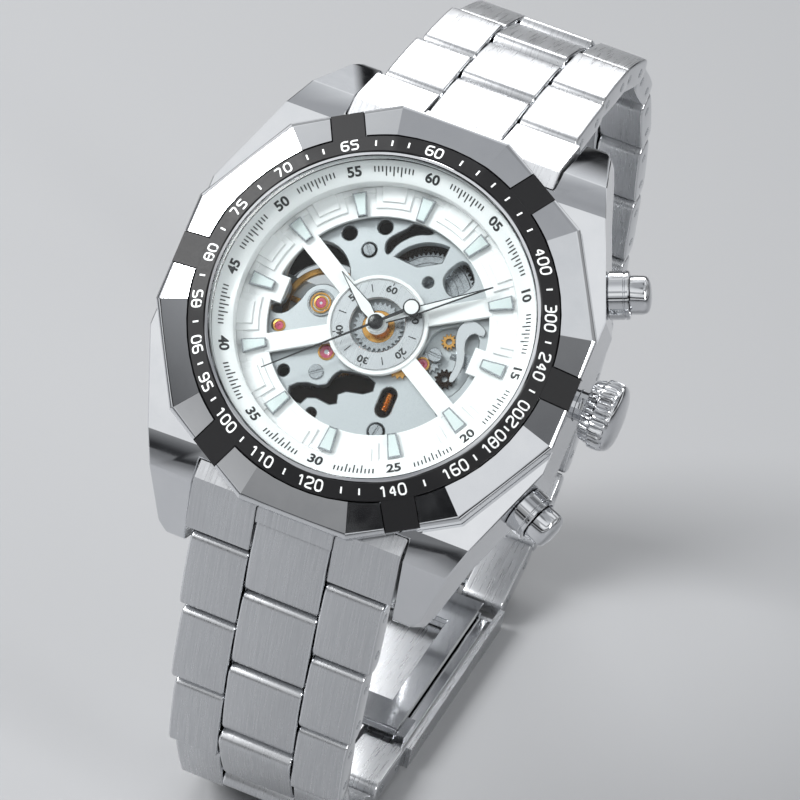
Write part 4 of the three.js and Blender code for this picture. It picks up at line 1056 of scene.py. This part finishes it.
def make_links(side, count, far, flip):
    """The links of one side, each a centre piece and two outer pieces on their two pins."""
    pins = [pin(f"link_{side}_{i + 1:02d}_hinge") for i in range(count)] + [far]
    for i in range(count):
        name = f"link_{side}_{i + 1:02d}"
        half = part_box(name)[1][0] / MM
        inner = CENTRE_HALF + SIDE_GAP
        shapes = link_bar(0, PITCH / 2, -CENTRE_HALF, CENTRE_HALF)
        shapes += link_bar(PITCH / 2, PITCH, inner, half - 0.03)
        shapes += link_bar(PITCH / 2, PITCH, -half + 0.03, -inner)
        shapes += [cross_pin(s, LINK_PIN_R, half) for s in (PITCH / 2, PITCH)]
        where = link_frame(pins[i], pins[i + 1], flip)
        piece(name + "_brushed", shapes, where, name, [name])


clasp_pin = pin("clasp_cover_hinge")
make_links("12", 12, clasp_pin + CLASP_SPAN * MM, False)
make_links("6", 6, clasp_pin, True)

END_TOP = (21.2, -2.9)
END_SLOPE = math.radians(-49.6)
END_ROOT = 18.6
END_HALF = 11.0


def make_end_links():
    """Two outer segments and a shorter centre one, each a bevelled prism across the lugs."""
    along = np.array([math.cos(END_SLOPE), math.sin(END_SLOPE)])
    up = np.array([-along[1], along[0]])
    to_pin = pin("link_12_01_hinge") - CENTRE
    end_pin = np.array([to_pin @ NORTH, to_pin @ OUT]) / MM

    def at(d, t):
        """The point d along the link's slope from its hinge pin, and t out from it."""
        return end_pin + d * along + t * up

    top = [(END_ROOT, -2.2), (20.4, -2.3), END_TOP]
    foot = (END_ROOT, end_pin[1] - 1.2)
    nose = [at(1.85, 1.5), at(2.35, 0.9), at(2.35, -0.9), at(1.85, -1.5), at(0, -1.5)]
    outer = top + nose + [foot]
    lean = math.degrees(END_SLOPE)
    hollow = END_R + 0.2
    open_half = math.degrees(math.asin(LINK_HALF / hollow))
    inner_arc = arc(*end_pin, hollow, lean + 180 - open_half, lean + 180 + open_half, 8)
    centre = top + [tuple(p) for p in inner_arc] + [foot]
    for sign, side in ((1, "12"), (-1, "6")):
        frame_in = placing(CENTRE, sign * NORTH, OUT, sign * EAST)
        shapes = [
            plate([outer], 4.17, END_HALF, "brushed_steel", 0.1),
            plate([outer], -END_HALF, -4.17, "brushed_steel", 0.1),
            plate([centre], -4.08, 4.08, "brushed_steel", 0.1),
        ]
        name = "end_link_" + side
        piece(name + "_brushed", shapes, frame_in, "case", [name])




def make_bridge():
    """The train bridge, with painted shade: its faces towards the dial take a dark brown look."""
    bridge = bevelled_copy("train_bridge", "train_bridge_painted_shade", "case", "frosted_plate", 0.05)
    bridge.data.materials.append(LOOKS["painted_shade_nickel"])
    # Faces that look towards the dial get the dark painted-shade look; the rest stay frosted.
    for face in bridge.data.polygons:
        face.material_index = int(np.dot(face.normal, OUT) > 0.5)


make_end_links()
make_bridge()
bevelled_copy("clasp_cover", "clasp_cover_brushed", "clasp_cover", "brushed_steel", 0.12)
bevelled_copy("clasp_middle_blade", "clasp_blade_middle", "clasp_middle_blade", "polished_steel", 0.06)
bevelled_copy("clasp_inner_blade", "clasp_blade_inner", "clasp_inner_blade", "polished_steel", 0.06)

# ---- Movement ----

PLATE_TOP = -3.6
PLATE_FOOT = -4.8
PLATE_R = 13.3
BALANCE_AT = (-6.3, 0.25)
BARREL_AT = (3.0, 5.0)
BALANCE_WINDOW = [
    (-9, 6.2), (-10.6, 4.6), (-10.9, 1.5), (-9.8, 1.3), (-9.8, -1.2), (-10.9, -1.4), (-10.8, -2.2),
    (-9.4, -2.1), (-8.4, -0.4), (-8, 1.4), (-6.6, 2.4), (-4.5, 2), (-4.7, 4.4), (-6.6, 6.2),
]
CLICK_WINDOW = [(5.3, 9.4), (4.2, 7.8), (4, 6.5), (5.5, 5.1), (7, 6.8), (7, 7.9)]
TRAIN_WINDOW = [
    (-1.7, -5.1), (-2.4, -6), (-2.7, -7.4), (-5.1, -7.7), (-6.3, -8.9), (-4.5, -10.1), (-3.8, -8.6),
    (-0.9, -8.9), (-1.4, -7.2), (1.9, -6.5), (1.7, -4.8),
]
UPPER_SLOT = [
    (-0.9, 11), (1.4, 11), (1.4, 10.5), (-0.2, 10), (-1.6, 8.4), (-1.9, 7.1), (-2.4, 7.3), (-2.7, 8.4),
    (-2, 9.3), (-1, 10.4),
]
# Places and radii of what is drilled and set in the plate.
PLATE_HOLES = [
    (-3.3, 9.6, 0.75), (-6.4, 7.8, 0.75), (-3.9, 6.9, 0.75), (-7.2, -7.3, 0.6), (-9.5, -3.3, 0.55),
    (-3, -10.3, 0.55), (3.7, -9.7, 0.85), (2.8, 5.9, 0.55),
]
SCREWS = [
    (-4.1, -6.3, 0.75), (3.7, -9.7, 0.7), (-3.9, 6.9, 0.6), (6.2, -0.6, 0.7), (9.2, -5.6, 0.85),
    (8.9, 3.3, 0.6),
]
JEWELS = [(-3.9, -4.1, 0.62), (-9.3, -3.3, 0.4), (5.4, -1.9, 0.5)]


def screw(x, y, r, top, turn):
    """A slotted screw head: a bevelled disc cut into two halves by its slot."""
    half = arc(0, 0, r, 8, 172, 20)
    upper = plate([half], top - 0.35, top, "movement_steel", 0.05)
    floor = turned([[r * 0.97, top - 0.45], [r * 0.97, top - 0.16], [0.01, top - 0.16]], "movement_steel", 32)
    return [moved(s, turn + t, (x, y, 0)) for s, t in ((upper, 0), (upper, 180), (floor, 0))]


def jewel(x, y, r, top):
    """A ruby with an oil cup, held in a gilt setting."""
    foot = top - 0.3
    rim = [[r + 0.22, foot], [r + 0.22, top], [r + 0.05, top + 0.02], [r, top - 0.1], [r, foot]]
    setting = turned(rim, "movement_brass", 40, closed=True)
    cup = [[r, foot], [r, top - 0.06], [r * 0.5, top - 0.04], [0.12, top - 0.14], [0.01, top - 0.2]]
    stone = turned(cup, "ruby", 40)
    return [moved(setting, 0, (x, y, 0)), moved(stone, 0, (x, y, 0))]


def toothed(r, count, depth):
    """A wheel's outline whose teeth have flat tips and straight flanks."""
    t = np.arange(count * 4)
    radius = np.where((t % 4 == 0) | (t % 4 == 1), r, r - depth)
    a = 2 * math.pi * (t - 0.5) / (count * 4)
    return np.column_stack([radius * np.cos(a), radius * np.sin(a)])


def make_plate():
    """The main plate with its windows, and what is set in it: jewels, screws and gilt bushes."""
    slot = np.vstack([arc(3.5, -5.9, 0.8, 0, 180), arc(3.5, -7.4, 0.8, 180, 360)])
    barrel_window = np.vstack([arc(3, 5.2, 4.7, 155, 85, 14), [(3.3, 8.2), (1.2, 7)]])
    keyless = [(5.4, 2.2), (9.9, 3.6), (10.2, -2.9), (7.6, -5.2), (5.2, -3.6), (4.9, -0.6)]
    holes = [soften(BALANCE_WINDOW, 2), barrel_window, soften(CLICK_WINDOW, 2), soften(TRAIN_WINDOW, 1), slot,
             soften(UPPER_SLOT, 2), soften(keyless, 2), circle(0, 0, 1.3)]
    holes += [circle(x, y, r, 32) for x, y, r in PLATE_HOLES]
    shapes = [plate([circle(0, 0, PLATE_R, 120)] + holes, PLATE_FOOT, PLATE_TOP, "frosted_plate", 0.1)]
    for index, (x, y, r) in enumerate(SCREWS):
        shapes += screw(x, y, r, PLATE_TOP + 0.18, 35 + 47 * index)
    for x, y, r in JEWELS:
        shapes += jewel(x, y, r, PLATE_TOP + 0.08)
    shapes += jewel(*BALANCE_AT, 0.5, PLATE_TOP + 0.12)
    for inner, outer, look in ((0.85, 1.05, "movement_brass"), (1.15, 1.35, "movement_steel")):
        outlines = [circle(0, 0, outer), circle(0, 0, inner)]
        ring = plate(outlines, PLATE_TOP - 0.02, PLATE_TOP + 0.2, look, 0.04)
        shapes.append(moved(ring, 0, (*BALANCE_AT, 0)))
    # A sunk floor closes the keyless recess below its wheels.
    floor = plate([soften([(5.2, 2.5), (10.2, 3.9), (10.5, -3.1), (7.6, -5.5), (5.0, -3.8), (4.7, -0.6)], 2)],
                  PLATE_FOOT + 0.02, PLATE_FOOT + 0.3, "frosted_plate", 0.05)
    shapes.append(floor)
    # The middle keyless wheel takes the dark brown painted-shade look made for the bridge's hidden side.
    gears = [((5.9, -1.3), 1.1, 14, "movement_steel"), ((7.9, -2.4), 1.0, 12, "painted_shade_nickel"),
             ((6.9, 1.2), 0.8, 12, "movement_brass")]
    for (x, y), r, count, look in gears:
        wheel = plate([toothed(r, count, 0.22), circle(0, 0, 0.3, 20)], -4.35, -4.05, look, 0.03)
        shapes += [moved(wheel, 9, (x, y, 0))]
    # A grooved gilt pin lies in the slot: its radius rises and falls seven times along its length.
    grooved = []
    for k, phase in enumerate(np.linspace(0, 14 * math.pi, 37)):
        section = circle(3.5, -4.3, 0.42 + 0.12 * math.cos(phase), PIN_STEPS)
        grooved.append(np.column_stack([section[:, 0], np.full(PIN_STEPS, -7.5 + 0.05 * k), section[:, 1]]))
    shapes.append(tube_of(np.stack(grooved), "movement_brass"))
    piece("movement_plate", shapes, HEAD, "case", ["main_plate"])


SPRING_TURNS = 9


def arbor():
    """A plain steel arbor from the bridge up to the plate."""
    return turned([[0.2, -7.4], [0.2, -4.9], [0.01, -4.9]], "movement_steel", 24)


def make_balance():
    """Rim, two arms and the hairspring, whose radius grows evenly with its angle."""
    x, y = BALANCE_AT
    rim = plate([circle(0, 0, 4.4, 96), circle(0, 0, 3.75, 96)], -7.25, -6.75, "movement_brass", 0.06)
    arm_outline = [(-3.9, -0.28), (3.9, -0.28), (3.9, 0.28), (-3.9, 0.28)]
    arms = plate([arm_outline], -7.1, -6.9, "movement_brass", 0.04)
    staff = arbor()
    a = np.linspace(0, SPRING_TURNS * 2 * math.pi, SPRING_TURNS * 32)
    r = 0.5 + 1.7 * a / a[-1]
    centre_line = np.column_stack([r * np.cos(a), r * np.sin(a)])
    outward = centre_line / np.linalg.norm(centre_line, axis=1, keepdims=True)
    rings = [np.column_stack([centre_line + outward * dx, np.full(len(a), z)])
             for dx, z in ((-0.03, -6.7), (0.03, -6.7), (0.03, -6.5), (-0.03, -6.5))]
    spring = tube_of(np.stack(rings, 1), "movement_steel")
    shapes = [moved(s, 0, (x, y, 0)) for s in (rim, arms, staff, spring)]
    piece("balance_gilt", shapes, HEAD, "balance_wheel", ["balance_wheel"])


def make_hour_wheel():
    """The hour wheel under the hands: a steel toothed rim, a gilt web and a copper collar."""
    gear = plate([toothed(2.5, 30, 0.28), circle(0, 0, 1.6, 48)], -3.5, -3.25, "movement_steel", 0.03)
    web = plate([circle(0, 0, 1.75, 48), circle(0, 0, 0.57, 32)], -3.45, -3.3, "movement_brass", 0.03)
    profile = [
        [0.57, -3.5], [0.98, -3.5], [0.98, -2.6], [0.9, -2.5], [0.74, -2.5], [0.74, -1.86], [0.57, -1.86],
    ]
    collar = turned(profile, "copper", 48, closed=True)
    piece("hour_wheel_cut", [gear, web, collar], HEAD, "hour_hand", ["hour_wheel"])


def make_barrel():
    """The barrel's drum with turned steps on its lid and fine teeth round its foot."""
    x, y = BARREL_AT
    profile = [
        [0.82, -7.2], [4.2, -7.2], [4.2, -6.0], [4.1, -5.9], [3.5, -5.9], [3.45, -6.0], [2.9, -6.0],
        [2.85, -5.92], [2.2, -5.92], [2.15, -6.0], [1.4, -6.0], [1.35, -5.9], [0.82, -5.9],
    ]
    lid = turned(profile, "movement_steel", 96, closed=True)
    ring = plate([toothed(4.6, 60, 0.25), circle(0, 0, 4.1, 72)], -6.4, -6.1, "movement_steel", 0.03)
    shapes = [moved(s, 0, (x, y, 0)) for s in (lid, ring)]
    piece("barrel_turned", shapes, HEAD, "barrel", ["barrel"])


def make_wheel(name, node, at, r, count, low, high, look, spokes=5):
    """A crossed-out train wheel: teeth, spokes and a boss on an arbor."""
    holes = []
    for k in range(spokes):
        mid = 360 * k / spokes
        far = arc(0, 0, r - 0.55, mid - 26, mid + 26, 8)
        near = arc(0, 0, 0.75, mid + 14, mid - 14, 4)
        holes.append(np.vstack([far, near]))
    web = plate([toothed(r, count, 0.22)] + holes, low, high, look, 0.03)
    boss = turned([[0.55, low - 0.08], [0.55, high + 0.08], [0.01, high + 0.08]], look, 32)
    shapes = [moved(s, 0, (*at, 0)) for s in (web, boss, arbor())]
    piece(name, shapes, HEAD, node, [node])


def make_setting_lever():
    """The curved lever of the keyless works, polished flat."""
    corners = [
        (7.4, 3.2), (8.6, 4), (10.2, 3.4), (10, 2.6), (8.9, 2.8), (8.4, 1.6), (9.4, -0.4), (9, -2.6),
        (8.3, -2.6), (8.6, -0.6), (7.4, 1.6),
    ]
    lever = plate([soften(corners, 2)], PLATE_TOP + 0.05, PLATE_TOP + 0.35, "polished_steel", 0.06)
    piece("setting_lever_polished", [lever], HEAD, "setting_lever", ["setting_lever"])


make_plate()
make_setting_lever()
make_balance()
make_hour_wheel()
make_barrel()
make_wheel("third_wheel_crossed", "third_wheel", (-3.2, -3.2), 2.6, 36, -6.2, -5.95, "movement_brass")
make_wheel("escape_wheel_cut", "escape_wheel", (-5, -6), 1.7, 15, -6.55, -6.35, "movement_steel", 4)


def make_rotor():
    """The half-round winding weight: a flat plate with three windows, and a polished hub."""
    top, foot = -8.45, -9.0
    web = np.vstack([arc(0, 0, 11.6, 180, 360, 72), [(2.6, 0), (-2.6, 0)]])
    windows = [
        np.vstack([arc(0, 0, 8.6, a - 17, a + 17, 16), arc(0, 0, 4, a + 12, a - 12, 8)])
        for a in (225, 270, 315)
    ]
    shapes = [
        plate([web] + windows, foot, top, "frosted_plate", 0.08),
        plate([circle(0, 0, 2.8, 64), circle(0, 0, 1.15, 32)], foot, top, "polished_steel", 0.08),
    ]
    piece("rotor_weight", shapes, HEAD, "rotor", ["rotor"])


make_rotor()

# ---- CAD nodes that keep their own shape ----

SLOT_OF = {row["node"]: row["material_slot"] for row in frame["record"]["subparts"]}
for name, item in NODES.items():
    item.data.materials.clear()
    item.data.materials.append(LOOKS[SLOT_OF[name]])

bpy.context.scene.view_settings.view_transform = "Standard"
